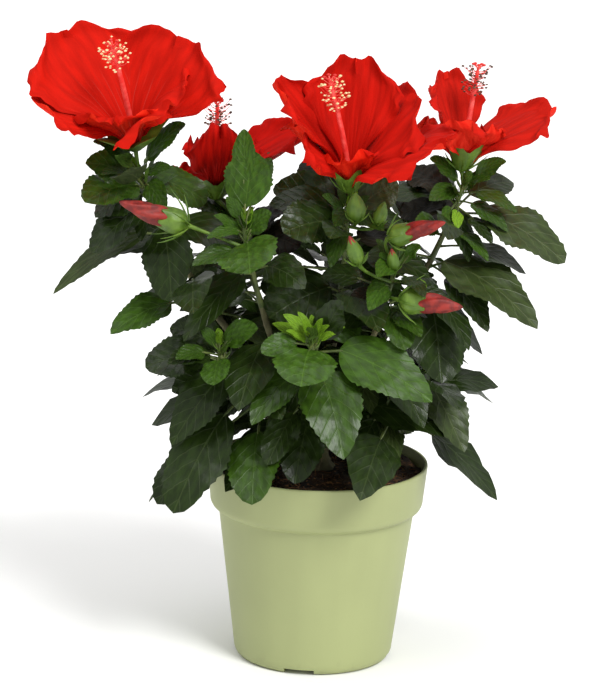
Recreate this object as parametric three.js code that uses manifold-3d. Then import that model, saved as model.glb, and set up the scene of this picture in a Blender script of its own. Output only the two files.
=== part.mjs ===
// A hibiscus shrub in a plastic nursery pot, in millimetres, +Z up.
// The origin is the middle of the pot's flat underside; the plant's front faces -Y.
//
// One short trunk stands on the soil and forks into boughs. Each bough ends where it enters
// its mass of foliage: a stem that grows on in the bough's line, with leaves and buds fused on.
// The four open flowers stand on their own stalks above four of the masses.

import * as THREE from 'three';
import { mergeVertices } from 'three/addons/utils/BufferGeometryUtils.js';
import Module from 'manifold-3d';

const wasm = await Module();
wasm.setup();

// ---------------------------------------------------------------- driving dimensions

const GAP = 0.3; // clearance kept between neighbouring pieces

const pot = {
  height: 118, rimRadius: 65, wall: 1.8, floor: 4.6, sides: 36,
  bandHeight: 22.4, bandTaper: 2.2, stepDrop: 6.3, bodyTopRadius: 57.6,
  footRadius: 43.6, footRound: 3.5, archHeight: 3.2, skirtWidth: 2.6, discRadius: 18,
  notches: 4, notchTurn: -10, notchWidth: 18, notchHeight: 3.2, notchSlant: 2.4, notchDepth: 12,
};

const soil = { level: 114, edgeDrop: 2.0, patchRadius: 16, slack: 0.6, sides: 20 };

const trunk = {
  flareRadius: 11, radius: 7, topRadius: 4.4, height: 44, lean: [3, -4], sides: 8, steps: 7,
};

const bough = { radius: 2.7, outward: 0.66, upward: 0.4, sides: 6, steps: 4 };
const stem = { radius: 2.1, tipRadius: 1.2, sides: 5, steps: 5 };
// `outward` turns the leaves' faces away from the trunk, and `front` those of the leaves that
// the growth rule adds towards -Y.
const leafSize = {
  thickness: 1.0, stalkRadius: 0.9, arch: 0.16, fold: 0.16, lift: 0.14, pad: 0.4,
  outward: 0.8, front: 0.4,
};
const goldenTurn = 137.5; // degrees from one leaf on a stem to the next
const tries = 9; // places tried for each leaf
const markedSpread = 3; // how much further each try reaches, for a marked leaf
const ruledSpread = 10; // and for a leaf that the growth rule adds
const rimClear = 12; // how far over the pot's rim the tips of those that the rule adds stay
const markedSeed = 500;

// Each shoot leaves the trunk at `fork` above the soil and bends out and up to `tip`.
// `bare` is the share of it that is bough, `leaves` the count that the growth rule adds, and
// `long` the leaf length low and high on it. `marked` are the leaves that stand out: where on
// the shoot they grow, where their tips reach, and their own length and width. `front` turns
// a leaf's upper face towards -Y.
const shoots = [
  {
    name: 'left', fork: 26, tip: [-106, -18, 289], bare: 0.42, leaves: 8, long: [60, 34],
    marked: [
      { at: 0.95, tip: [-136, -42, 278], long: 36, wide: 30, front: 1.0 },
      { at: 0.90, tip: [-132, -34, 247], long: 40, wide: 28, front: 0.8 },
      { at: 0.80, tip: [-155, -20, 219], long: 60, wide: 16, front: 1.1 },
      { at: 0.97, tip: [-68, -4, 272], long: 38, wide: 25, front: 0.7 },
      { at: 0.84, tip: [-86, -44, 222], long: 50, wide: 32, front: 0.8 },
      { at: 0.56, tip: [-121, -32, 199], long: 38, wide: 25, front: 0.9 },
    ],
  },
  {
    name: 'back_left', fork: 31, tip: [-52, 40, 252], bare: 0.40, leaves: 13, long: [58, 34],
    marked: [
      { at: 0.97, tip: [-37, 22, 274], long: 42, wide: 34, front: 0.9 },
      { at: 0.90, tip: [-14, 24, 240], long: 46, wide: 36, front: 0.8 },
    ],
  },
  {
    name: 'middle', fork: 40, tip: [14, -26, 276], bare: 0.36, leaves: 12, long: [60, 32],
    marked: [
      { at: 0.90, tip: [-23, -54, 266], long: 40, wide: 30, front: 0.9 },
      { at: 0.88, tip: [-12, 12, 296], long: 48, wide: 30, front: 0.9 },
      { at: 0.93, tip: [42, -16, 288], long: 30, wide: 24, front: 1.0 },
      { at: 0.62, tip: [-34, -34, 211], long: 46, wide: 40, front: 0.6 },
    ],
  },
  {
    name: 'right', fork: 36, tip: [80, 8, 282], bare: 0.50, leaves: 9, long: [58, 32],
    marked: [
      { at: 0.90, tip: [140, -6, 242], long: 54, wide: 34, front: 0.9 },
      { at: 0.68, tip: [124, -30, 208], long: 66, wide: 35, front: 1.0 },
      { at: 0.98, tip: [111, -6, 271], long: 26, wide: 14, front: 0.8 },
      { at: 0.66, tip: [70, -36, 176], long: 46, wide: 40, front: 0.9 },
      { at: 0.86, tip: [52, -30, 262], long: 26, wide: 16, front: 0.8 },
    ],
  },
  {
    name: 'front', fork: 12, tip: [-5, -62, 205], bare: 0.30, leaves: 8, long: [56, 24],
    marked: [
      { at: 0.98, tip: [-11, -101, 189], long: 30, wide: 37, front: 0.3 },
      { at: 0.86, tip: [14, -99, 147], long: 50, wide: 36, front: 0.6 },
      { at: 0.92, tip: [63, -82, 177], long: 58, wide: 33, front: 0.9 },
      { at: 0.95, tip: [22, -42, 215], long: 26, wide: 28, front: 1.0 },
      { at: 0.97, tip: [-31, -78, 205], long: 22, wide: 15, front: 0.8 },
      { at: 0.80, tip: [-38, -90, 163], long: 42, wide: 22, front: 0.4 },
      { at: 0.50, tip: [-13, -68, 123], long: 40, wide: 27, front: 0.9 },
      { at: 0.64, tip: [-29, -72, 135], long: 32, wide: 20, front: 0.7 },
    ],
  },
  {
    name: 'left_front', fork: 16, tip: [-46, -42, 266], bare: 0.44, leaves: 5, long: [52, 28],
    marked: [
      { at: 0.99, tip: [-43, -32, 309], long: 38, wide: 29, front: 1.3 },
      { at: 0.93, tip: [-41, -76, 247], long: 34, wide: 37, front: 0.8 },
      { at: 0.82, tip: [-78, -60, 203], long: 48, wide: 22, front: 0.9 },
    ],
  },
  {
    name: 'right_front', fork: 20, tip: [42, -46, 250], bare: 0.46, leaves: 6, long: [46, 20],
    marked: [
      { at: 0.80, tip: [47, -72, 204], long: 30, wide: 20, front: 0.9 },
    ],
  },
  {
    name: 'low_left', fork: 8, tip: [-58, -52, 196], bare: 0.30, leaves: 5, long: [60, 22],
    marked: [
      { at: 0.98, tip: [-60, -84, 184], long: 22, wide: 18, front: 0.8 },
      { at: 0.99, tip: [-36, -62, 212], long: 26, wide: 16, front: 1.0 },
      { at: 0.96, tip: [-82, -70, 195], long: 20, wide: 12, front: 0.9 },
      { at: 0.90, tip: [-100, -48, 184], long: 36, wide: 26, front: 0.9 },
      { at: 0.82, tip: [-84, -58, 141], long: 52, wide: 30, front: 0.8 },
      { at: 0.60, tip: [-98, -26, 97], long: 60, wide: 20, front: -0.3 },
      { at: 0.66, tip: [-90, -76, 113], long: 58, wide: 38, front: 0.8 },
      { at: 0.56, tip: [-92, -52, 104], long: 44, wide: 28, front: 0.8 },
      { at: 0.50, tip: [-37, -82, 114], long: 44, wide: 31, front: 0.6 },
    ],
  },
  {
    name: 'low_right', fork: 10, tip: [62, -12, 176], bare: 0.36, leaves: 9, long: [60, 40],
    marked: [
      { at: 0.92, tip: [84, -46, 138], long: 50, wide: 30, front: 0.9 },
      { at: 0.55, tip: [44, -60, 132], long: 50, wide: 17, front: 0.9 },
      { at: 0.50, tip: [20, -42, 124], long: 36, wide: 20, front: 0.5 },
      { at: 0.74, tip: [45, -32, 144], long: 40, wide: 30, front: -0.8 },
    ],
  },
  { name: 'back', fork: 23, tip: [8, 62, 236], bare: 0.42, leaves: 15, long: [62, 36] },
  {
    name: 'back_right', fork: 28, tip: [48, 44, 256], bare: 0.44, leaves: 12, long: [58, 36],
    marked: [
      { at: 0.95, tip: [43, 34, 288], long: 42, wide: 30, front: 0.9 },
      { at: 0.97, tip: [62, 46, 293], long: 42, wide: 32, front: 0.9 },
      { at: 0.93, tip: [80, 38, 262], long: 38, wide: 32, front: 0.9 },
    ],
  },
  { name: 'low_back_left', fork: 14, tip: [-60, 50, 178], bare: 0.32, leaves: 14, long: [64, 38] },
  { name: 'low_back_right', fork: 18, tip: [56, 54, 174], bare: 0.32, leaves: 13, long: [64, 38] },
];

// Flower buds: the shoot that carries them, where the calyx starts and where the tip ends.
const buds = [
  { shoot: 'left_front', at: 0.92, base: [-77, -46, 267], tip: [-116, -56, 282], thick: 15 },
  { shoot: 'right_front', at: 0.97, base: [36, -52, 264], tip: [68, -61, 276], thick: 13 },
  { shoot: 'right_front', at: 0.84, base: [43, -62, 231], tip: [79, -73, 230], thick: 15 },
  { shoot: 'right_front', at: 0.90, base: [20, -60, 250], tip: [14, -66, 268], thick: 9 },
  { shoot: 'right_front', at: 0.96, base: [40, -55, 246], tip: [38, -60, 260], thick: 7 },
  { shoot: 'middle', at: 0.95, base: [18, -46, 272], tip: [17, -51, 290], thick: 11 },
  { shoot: 'middle', at: 0.92, base: [30, -36, 268], tip: [34, -40, 283], thick: 8 },
];

// Open flowers. `axis` points out of the throat. Each petal has its turn about the axis, from
// the upper side towards +X, the angle that it opens to, its length and width, and the curl
// of its end. `cup` lifts or drops its sides, `fan` is how wide it still is at its end, and
// `slant` makes it longer on one side and shorter on the other. `head` is how far the end of
// the column is carried off its straight line.
const column = { radius: 1.5, headRadius: 5.5 };
const petalFall = 0.2;
const petalSteps = { across: 4, along: 3, curled: 4 };
const blooms = [
  {
    name: 'bloom_left', shoot: 'left', base: [-109, -22, 308], axis: [-0.12, -0.44, 0.89],
    column: 68, head: [-4, 0, 2], petals: [
      { turn: -47, open: 46, long: 80, wide: 86, curl: 0, cup: -0.05, fan: 0.8, slant: 0.05 },
      { turn: 36, open: 48, long: 70, wide: 96, curl: 5, cup: -0.05, fan: 0.9, slant: 0 },
      { turn: 120, open: 30, long: 56, wide: 82, curl: 66, cup: -0.1, fan: 0.8, slant: 0 },
      { turn: 186, open: 24, long: 50, wide: 62, curl: 72, cup: -0.1, fan: 0.7, slant: 0 },
      { turn: 270, open: 58, long: 70, wide: 60, curl: 5, cup: -0.05, fan: 0.8, slant: -0.1 },
    ],
  },
  {
    name: 'bloom_middle', shoot: 'middle', base: [14, -32, 288], axis: [-0.1, -0.24, 0.96],
    column: 66, head: [-7, 0, 2], petals: [
      { turn: 12, open: 25, long: 78, wide: 62, curl: 0, cup: 0.05, fan: 0.8, slant: 0 },
      { turn: 70, open: 40, long: 70, wide: 86, curl: 10, cup: -0.1, fan: 0.8, slant: 0 },
      { turn: 112, open: 62, long: 80, wide: 66, curl: 15, cup: -0.1, fan: 0.8, slant: 0 },
      { turn: 180, open: 25, long: 33, wide: 48, curl: 40, cup: -0.05, fan: 0.8, slant: 0 },
      { turn: 255, open: 32, long: 55, wide: 50, curl: 0, cup: -0.45, fan: 0.8, slant: -0.06 },
      { turn: 285, open: 35, long: 78, wide: 52, curl: 0, cup: 0.25, fan: 0.7, slant: 0 },
    ],
  },
  {
    name: 'bloom_right', shoot: 'right', base: [79, 8, 294], axis: [0.1, 0.04, 0.99],
    column: 56, head: [2, 0, 3], petals: [
      { turn: -25, open: 27, long: 60, wide: 48, curl: 0, cup: 0.1, fan: 0.8, slant: -0.04 },
      { turn: 80, open: 58, long: 68, wide: 56, curl: 5, cup: -0.15, fan: 0.8, slant: 0.06 },
      { turn: 170, open: 35, long: 34, wide: 46, curl: 10, cup: -0.05, fan: 0.8, slant: 0 },
      { turn: 230, open: 40, long: 40, wide: 50, curl: 30, cup: -0.1, fan: 0.8, slant: 0 },
      { turn: 300, open: 30, long: 52, wide: 66, curl: 0, cup: 0.05, fan: 0.8, slant: 0 },
    ],
  },
  {
    name: 'bloom_wilted', shoot: 'back_left', base: [-64, 40, 267], axis: [0, -0.06, 0.99],
    column: 52, head: [0, 0, 4], petals: [
      { turn: 175, open: 52, long: 66, wide: 36, curl: -108, cup: -0.1, fan: 0.8, slant: 0 },
      { turn: 84, open: 58, long: 70, wide: 64, curl: 10, cup: 0.1, fan: 0.8, slant: 0 },
      { turn: 35, open: 50, long: 43, wide: 44, curl: 20, cup: 0.1, fan: 0.7, slant: 0 },
      { turn: 260, open: 58, long: 30, wide: 36, curl: 60, cup: 0.2, fan: 0.7, slant: 0 },
      { turn: 325, open: 30, long: 38, wide: 40, curl: 40, cup: 0.1, fan: 0.7, slant: 0 },
    ],
  },
];

const paint = {
  pot: [0xb8be83, 0.55], soil: [0x3a281c, 1.0], bark: [0x6f6a45, 0.85], leaf: [0x35552a, 0.5],
  bloom: [0xd8200f, 0.5], wilted: [0xa31410, 0.6],
};

// ---------------------------------------------------------------- shaping

const vec = ([x, y, z]) => new THREE.Vector3(x, y, z);
const rad = THREE.MathUtils.degToRad;
const mix = THREE.MathUtils.lerp;

// A closed three.js geometry, its vertices moved by `place`, becomes a solid.
function shaped(geometry, place = () => {}) {
  geometry.deleteAttribute('normal');
  geometry.deleteAttribute('uv');
  const merged = mergeVertices(geometry, 1e-5);
  const spots = merged.attributes.position;
  const spot = new THREE.Vector3();
  for (let i = 0; i < spots.count; i += 1) {
    place(spot.fromBufferAttribute(spots, i));
    spots.setXYZ(i, spot.x, spot.y, spot.z);
  }
  return new wasm.Manifold(new wasm.Mesh({
    numProp: 3, vertProperties: new Float32Array(spots.array),
    triVerts: new Uint32Array(merged.index.array),
  }));
}

// A lathe about Z of [radius, height] points.
function turned(points, sides) {
  const profile = points.map(([r, z]) => new THREE.Vector2(r, z));
  return shaped(new THREE.LatheGeometry(profile, sides).rotateX(Math.PI / 2));
}

// A round limb along a curve: radiusAt(t) is its taper, t from 0 at the foot to 1.
function limb(curve, radiusAt, sides, steps) {
  const chord = curve.getPoint(1).sub(curve.getPoint(0));
  const across = curve.getTangent(0).cross(chord);
  if (across.length() < 1e-3) across.set(0, 0, 1).cross(chord);
  if (across.length() < 1e-3) across.set(1, 0, 0);
  across.normalize();
  return shaped(new THREE.CylinderGeometry(1, 1, 1, sides, steps), (spot) => {
    const t = spot.y + 0.5;
    const along = curve.getTangent(t);
    const side = across.clone().addScaledVector(along, -across.dot(along)).normalize();
    const other = side.clone().cross(along);
    const radius = radiusAt(t);
    const [x, z] = [spot.x * radius, spot.z * radius];
    spot.copy(curve.getPoint(t)).addScaledVector(side, x).addScaledVector(other, z);
  });
}

const bend = (from, by, to) => new THREE.QuadraticBezierCurve3(from, by, to);

// A closed spindle: place(k, x, z) gives the point of ring k, from its first pole at 0 to its
// last pole at `rings`, that lies at x, z on the unit circle round its middle line.
function spindle(sides, rings, place) {
  return shaped(new THREE.SphereGeometry(1, sides, rings), (spot) => {
    const ring = Math.round((Math.acos(THREE.MathUtils.clamp(spot.y, -1, 1)) / Math.PI) * rings);
    const size = Math.hypot(spot.x, spot.z);
    const pole = ring === 0 || ring === rings;
    spot.copy(pole ? place(ring, 0, 0) : place(ring, spot.x / size, spot.z / size));
  });
}

// A spindle about a curve: each stop is [share along the curve, radius there].
function stalked(curve, stops, sides) {
  const chord = curve.getPoint(1).sub(curve.getPoint(0));
  const aside = new THREE.Vector3(0.31, 0.23, 1).cross(chord).normalize();
  return spindle(sides, stops.length - 1, (ring, x, z) => {
    const [share, radius] = stops[ring];
    const along = curve.getTangent(share);
    const side = aside.clone().addScaledVector(along, -aside.dot(along)).normalize();
    const other = side.clone().cross(along).negate();
    return curve.getPoint(share).addScaledVector(side, x * radius).addScaledVector(other, z * radius);
  });
}

function seeded(seed) {
  let state = seed >>> 0;
  return () => {
    state = (Math.imul(state, 1664525) + 1013904223) >>> 0;
    return state / 4294967296;
  };
}

const fused = (solids) => solids.reduce((whole, next) => whole.add(next));

// ---------------------------------------------------------------- pot and soil

// The heights and radii that the pot and the soil share.
const bandFoot = pot.height - pot.bandHeight;
const bandRadius = pot.rimRadius - pot.bandTaper;
const stepFoot = bandFoot - pot.stepDrop;
const bodyFoot = pot.footRadius + pot.footRound;

function potSolid() {
  const p = pot;
  const outside = [
    [p.footRadius, 0], [p.footRadius + 1.5, 1.2], [p.footRadius + 2.8, 3.4], [bodyFoot, 6.5],
    [p.bodyTopRadius, stepFoot], [p.bodyTopRadius + 1.2, stepFoot + 1.4],
    [bandRadius - 0.7, bandFoot - 1.6], [bandRadius, bandFoot + 0.6],
    [p.rimRadius, p.height - 1.0], [p.rimRadius - 0.5, p.height],
  ];
  const inside = [
    [p.rimRadius - p.wall + 0.3, p.height], [p.rimRadius - p.wall, p.height - 0.6],
    [bandRadius - p.wall, bandFoot + 0.4], [p.bodyTopRadius - p.wall, stepFoot - 0.8],
    [bodyFoot - p.wall - 0.1, p.floor + 1.2], [bodyFoot - p.wall - 1.4, p.floor],
    [0, p.floor],
  ];
  const underside = [
    [0, 0], [p.discRadius, 0], [p.discRadius + 0.6, p.archHeight],
    [p.footRadius - p.skirtWidth - 0.6, p.archHeight], [p.footRadius - p.skirtWidth, 0],
  ];
  let solid = turned([...underside, ...outside, ...inside], p.sides);
  const half = p.notchWidth / 2;
  const notch = new THREE.Shape();
  notch.moveTo(-half, -1);
  notch.lineTo(half, -1);
  notch.lineTo(half - p.notchSlant, p.notchHeight);
  notch.lineTo(p.notchSlant - half, p.notchHeight);
  for (let i = 0; i < p.notches; i += 1) {
    const cut = new THREE.ExtrudeGeometry(notch, { depth: p.notchDepth, bevelEnabled: false });
    cut.rotateX(Math.PI / 2).translate(0, p.notchDepth / 2 - p.footRadius, 0);
    cut.rotateZ(rad(p.notchTurn + (360 / p.notches) * i));
    solid = solid.subtract(shaped(cut));
  }
  return solid;
}

// The soil fills the pot to just under its rim, and is flat where the trunk stands.
function soilSolid() {
  const p = pot;
  const slack = p.wall + GAP + soil.slack;
  const edge = mix(bandRadius, p.rimRadius, 0.6) - slack;
  return turned([
    [0, p.floor + GAP], [bodyFoot - slack - 1.6, p.floor + GAP],
    [bodyFoot - slack, p.floor + 2.4], [p.bodyTopRadius - slack, stepFoot - 1.4],
    [bandRadius - slack - 0.3, bandFoot + 1],
    [edge, soil.level - soil.edgeDrop], [edge - 16, soil.level - 0.4],
    [soil.patchRadius, soil.level], [0, soil.level],
  ], soil.sides);
}

// ---------------------------------------------------------------- trunk and boughs

const trunkFoot = vec([0, 0, soil.level + GAP]);
const trunkTop = vec([trunk.lean[0], trunk.lean[1], trunkFoot.z + trunk.height]);
const trunkLine = bend(trunkFoot, vec([0, 0, trunkFoot.z + trunk.height * 0.5]), trunkTop);

function trunkRadius(t) {
  const flare = (trunk.flareRadius - trunk.radius) * Math.exp(-t * 14);
  return mix(trunk.radius, trunk.topRadius, t) + flare;
}

// The line of a shoot, from inside the trunk to its tip.
function shootLine(shoot) {
  const foot = trunkLine.getPoint(shoot.fork / trunk.height);
  const tip = vec(shoot.tip);
  const by = new THREE.Vector3(
    mix(foot.x, tip.x, bough.outward), mix(foot.y, tip.y, bough.outward),
    mix(foot.z, tip.z, bough.upward));
  return bend(foot, by, tip);
}

const mixPoint = (a, b, t) => a.clone().lerp(b, t);

// The part of a bend between two shares of it, as a bend of its own.
function stretch(line, from, to) {
  const by = mixPoint(mixPoint(line.v0, line.v1, from), mixPoint(line.v1, line.v2, from), to);
  return bend(line.getPoint(from), by, line.getPoint(to));
}

// ---------------------------------------------------------------- leaves and buds

const up = new THREE.Vector3(0, 0, 1);

// Where a leaf's blade starts and how it lies, from its foot on the stem to its tip.
function leafLie(foot, tip, long, front) {
  const reach = tip.clone().sub(foot);
  const length = Math.min(long, reach.length() * 0.86);
  const base = tip.clone().addScaledVector(reach.normalize(), -length);
  base.z += leafSize.lift * length;
  const middle = mixPoint(base, tip, 0.5);
  const face = new THREE.Vector3(middle.x, middle.y, 0).normalize().multiplyScalar(leafSize.outward);
  face.add(up);
  face.y -= front;
  const by = middle.clone().addScaledVector(up, leafSize.arch * length);
  return { base, tip, length, face, midrib: bend(base, by, tip) };
}

// A leaf's half width along its midrib, as a share of its widest half width.
const leafOutline = (t) => Math.sin(Math.PI * t ** 0.74) ** 0.68;

// The leaf is a four-sided spindle, drawn flat along its midrib. With its stalk, it starts
// inside the stem; without, it is the blade alone. `pad` is the clearance kept all round it
// when a place is tried.
function leafSolid(foot, lie, wide, pad, withStalk) {
  const thin = leafSize.stalkRadius + pad;
  const thick = leafSize.thickness * 0.5 + pad;
  const outward = lie.base.clone().sub(foot).normalize();
  const shares = withStalk ? [0, 0, 0.08, 0.4, 0.75, 1] : [0, 0.08, 0.4, 0.75, 1];
  return spindle(4, shares.length - 1, (ring, x, z) => {
    const onStalk = withStalk && ring < 2;
    const share = shares[ring];
    const along = onStalk ? outward : lie.midrib.getTangent(share);
    const middle = onStalk
      ? foot.clone().addScaledVector(outward, ring - 1) : lie.midrib.getPoint(share);
    const half = onStalk ? thin : Math.max(leafOutline(share) * wide * 0.5, thin) + pad;
    const top = withStalk && ring < 3 ? thin : thick;
    const normal = lie.face.clone().addScaledVector(along, -lie.face.dot(along)).normalize();
    const across = normal.clone().cross(along);
    return middle.addScaledVector(across, x * half)
      .addScaledVector(normal, z * top + (onStalk ? 0 : Math.abs(x) * half * leafSize.fold));
  });
}

// A bud on its stalk: the stalk starts in the stem and widens into the calyx, whose lip
// stands proud of the rolled petals.
function budSolid(foot, bud) {
  const base = vec(bud.base);
  const tip = vec(bud.tip);
  const radius = bud.thick / 2;
  const share = foot.distanceTo(base) / (foot.distanceTo(base) + base.distanceTo(tip));
  const by = base.clone().addScaledVector(tip.clone().sub(base), -0.4);
  const line = bend(foot, by, tip);
  const on = (t) => mix(share, 1, t);
  return stalked(line, [
    [0, 0], [0.01, 1.1], [share, 1.2], [on(0.08), radius * 0.75], [on(0.28), radius],
    [on(0.46), radius * 0.94], [on(0.5), radius * 0.78], [on(0.78), radius * 0.6], [1, 0],
  ], 6);
}

// ---------------------------------------------------------------- flowers

// The middle line of a petal, as [distance from the axis, height along it] by share.
function petalLine(petal, steps = 24) {
  const line = [[3, 0]];
  for (let i = 0; i < steps; i += 1) {
    const t = (i + 0.5) / steps;
    const opened = mix(0.55, 1, THREE.MathUtils.smoothstep(t, 0, 0.5));
    const curled = Math.max(0, (t - 0.45) / 0.55) ** 1.5;
    const angle = rad(petal.open * opened + petal.curl * curled);
    const [r, h] = line[i];
    const step = petal.long / steps;
    line.push([r + Math.sin(angle) * step, h + Math.cos(angle) * step]);
  }
  return line;
}

function petalWidth(t, fan) {
  if (t < 0.8) return 0.15 + 0.85 * Math.sin((t / 0.8) * Math.PI * 0.5) ** 1.3;
  return mix(1, fan, ((t - 0.8) / 0.2) ** 2.5);
}

// The share of its length that a petal reaches, from v = -1 on one side to 1 on the other.
const petalReach = (slant, v) => 1 - petalFall * v * v + slant * v;

// A point of a petal in its flower's frame: t along it, v from -1 to 1 across it.
function petalPoint(petal, line, t, v) {
  const tipped = t * mix(1, petalReach(petal.slant, v), t);
  const place = Math.min(tipped, 0.9999) * (line.length - 1);
  const low = Math.floor(place);
  const r = mix(line[low][0], line[low + 1][0], place - low);
  const h = mix(line[low][1], line[low + 1][1], place - low);
  const dr = line[low + 1][0] - line[low][0];
  const dh = line[low + 1][1] - line[low][1];
  const step = Math.hypot(dr, dh);
  const half = petalWidth(t, petal.fan) * petal.wide * 0.5;
  const wrap = mix(1, 0.2, THREE.MathUtils.smoothstep(t, 0.15, 0.8));
  const round = (v * half) / Math.max(r, 3);
  const most = mix(0.8, 1.25, THREE.MathUtils.smoothstep(t, 0.2, 0.6));
  const turnBy = Math.min(Math.max(round, -most), most);
  const radial = mix(r, r * Math.cos(turnBy), wrap);
  const aside = mix(v * half, r * Math.sin(turnBy), wrap);
  const twist = 2.4 * v * THREE.MathUtils.smoothstep(t, 0, 0.5);
  const lap = twist + petal.cup * half * v * v + petalRuffle(petal, t, v);
  const out = radial - (dh / step) * lap;
  const height = h + (dr / step) * lap;
  const turn = rad(-petal.turn);
  return new THREE.Vector3(
    out * Math.cos(turn) - aside * Math.sin(turn),
    out * Math.sin(turn) + aside * Math.cos(turn), height);
}

function petalRuffle(petal, t, v) {
  return 2.4 * t ** 3 * Math.sin(v * 4.2 + petal.turn * 0.13) * Math.abs(v);
}

// A flower's frame: x towards its upper side, y towards +X, z out of the throat.
function bloomFrame(bloom) {
  const out = vec(bloom.axis).normalize();
  const upper = new THREE.Vector3(0, 0.5, 1);
  upper.addScaledVector(out, -upper.dot(out)).normalize();
  const side = out.clone().cross(upper);
  return new THREE.Matrix4().makeBasis(upper, side, out).setPosition(vec(bloom.base));
}

function petalSolid(petal, frame) {
  const line = petalLine(petal);
  const thick = 1.1;
  const along = Math.abs(petal.curl) > 15 ? petalSteps.curled : petalSteps.along;
  return shaped(new THREE.BoxGeometry(2, 1, 1, petalSteps.across, along, 1), (spot) => {
    const [v, t, layer] = [spot.x, spot.y + 0.5, spot.z];
    const step = 0.02;
    const du = petalPoint(petal, line, Math.min(t + step, 1), v)
      .sub(petalPoint(petal, line, Math.max(t - step, 0), v));
    const dv = petalPoint(petal, line, t, Math.min(v + step, 1))
      .sub(petalPoint(petal, line, t, Math.max(v - step, -1)));
    const normal = dv.cross(du).normalize();
    spot.copy(petalPoint(petal, line, t, v)).addScaledVector(normal, layer * thick);
    spot.applyMatrix4(frame);
  });
}

function bloomSolid(bloom, stemTip, stemAlong) {
  const frame = bloomFrame(bloom);
  const base = vec(bloom.base);
  const out = vec(bloom.axis).normalize();
  const foot = stemTip.clone().addScaledVector(stemAlong, GAP);
  const mouth = base.clone().addScaledVector(out, 13);
  const share = foot.distanceTo(base) / foot.distanceTo(mouth);
  const stalkLine = bend(foot, mixPoint(foot, mouth, 0.5).addScaledVector(stemAlong, 2), mouth);
  const stalk = stalked(stalkLine, [
    [0, 0], [0, stem.tipRadius], [share * 0.6, stem.tipRadius], [share * 0.72, 5.2],
    [share, 7], [0.97, 7.4], [1, 0],
  ], 8);
  const headEnd = base.clone().addScaledVector(out, bloom.column).add(vec(bloom.head));
  const columnLine = bend(base, base.clone().addScaledVector(out, bloom.column * 0.5), headEnd);
  const centre = stalked(columnLine, [
    [0, 0], [0.05, column.radius], [0.72, column.radius], [0.82, column.headRadius],
    [0.94, column.headRadius], [1, 0],
  ], 6);
  const petals = bloom.petals.map((petal) => petalSolid(petal, frame));
  return fused([stalk, centre, ...petals]);
}

// ---------------------------------------------------------------- growing the plant

const kept = []; // every solid placed so far, with its owner and box

function keep(owner, kind, solid) {
  kept.push({ owner, kind, solid, box: boxOf(solid) });
  return solid;
}

const boxOf = (solid) => new THREE.Box3().setFromArray(solid.getMesh().vertProperties);

// True where a solid runs into anything of the kinds that it may not touch.
function clashes(solid, isFree) {
  const box = boxOf(solid);
  return kept.some((other) => !isFree(other) && box.intersectsBox(other.box)
    && solid.intersect(other.solid).getMesh().triVerts.length > 0);
}

// The leaves of one shoot by the growth rule: `rise` is 0 at the lowest leaf, 1 at the tip.
function ruledLeaf(shoot, order, index) {
  const roll = seeded(order * 1000 + index * 7 + 1);
  const rise = (index + 0.5) / shoot.leaves;
  const at = mix(shoot.bare + 0.06, 0.98, rise);
  const turn = rad(order * 50 + index * goldenTurn + 30 * roll());
  const long = mix(shoot.long[0], shoot.long[1], rise) * mix(0.85, 1.1, roll());
  const dip = rad(mix(38, -12, rise) + 24 * (roll() - 0.5));
  const reach = long * 1.34;
  const foot = shoot.line.getPoint(at);
  const tip = foot.clone().add(new THREE.Vector3(
    Math.cos(turn) * Math.cos(dip) * reach, Math.sin(turn) * Math.cos(dip) * reach,
    -Math.sin(dip) * reach));
  tip.z = Math.max(tip.z, pot.height + rimClear);
  const wide = long * mix(0.52, 0.66, roll());
  return { at, tip: tip.toArray(), long, wide, front: leafSize.front };
}

// One leaf is tried at its own place and then ever further from it, until it is clear.
function growLeaf(shoot, order, index, leaf, spread) {
  const roll = seeded(order * 1000 + index * 7 + 3);
  const foot = shoot.line.getPoint(leaf.at);
  for (let attempt = 0; attempt < tries; attempt += 1) {
    const shift = new THREE.Vector3(roll() - 0.5, roll() - 0.5, roll() - 0.5);
    const tip = vec(leaf.tip).addScaledVector(shift, attempt * spread);
    const lie = leafLie(foot, tip, leaf.long, leaf.front);
    const whole = leafSolid(foot, lie, leaf.wide, leafSize.pad, true);
    const blade = leafSolid(foot, lie, leaf.wide, leafSize.pad, false);
    if (clashes(whole, (other) => other.owner === shoot.name)) continue;
    if (clashes(blade, (other) => other.owner !== shoot.name)) continue;
    shoot.parts.push(keep(shoot.name, 'leaf', leafSolid(foot, lie, leaf.wide, 0, true)));
    return;
  }
}

const pieces = []; // [name, solid, paint]

function piece(name, kind, solid, look) {
  pieces.push([name, keep(name, kind, solid), look]);
}

piece('pot', 'pot', potSolid(), paint.pot);
piece('soil', 'soil', soilSolid(), paint.soil);
piece('trunk', 'trunk', limb(trunkLine, trunkRadius, trunk.sides, trunk.steps), paint.bark);
const trunkClear = limb(trunkLine, (t) => trunkRadius(t) + GAP, trunk.sides, trunk.steps);

for (const shoot of shoots) {
  shoot.line = shootLine(shoot);
  const wood = limb(stretch(shoot.line, 0, shoot.bare),
    (t) => mix(bough.radius, stem.radius, t), bough.sides, bough.steps);
  piece(`bough_${shoot.name}`, 'bough', wood.subtract(trunkClear), paint.bark);
  const start = shoot.bare + GAP / shoot.line.getLength();
  const core = limb(stretch(shoot.line, start, 1),
    (t) => mix(stem.radius, stem.tipRadius, t), stem.sides, stem.steps);
  shoot.parts = [keep(shoot.name, 'stem', core)];
}

const shootNamed = (name) => shoots.find((shoot) => shoot.name === name);

for (const bloom of blooms) {
  const { line } = shootNamed(bloom.shoot);
  const look = bloom.name === 'bloom_wilted' ? paint.wilted : paint.bloom;
  piece(bloom.name, 'bloom', bloomSolid(bloom, line.getPoint(1), line.getTangent(1)), look);
}

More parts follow.
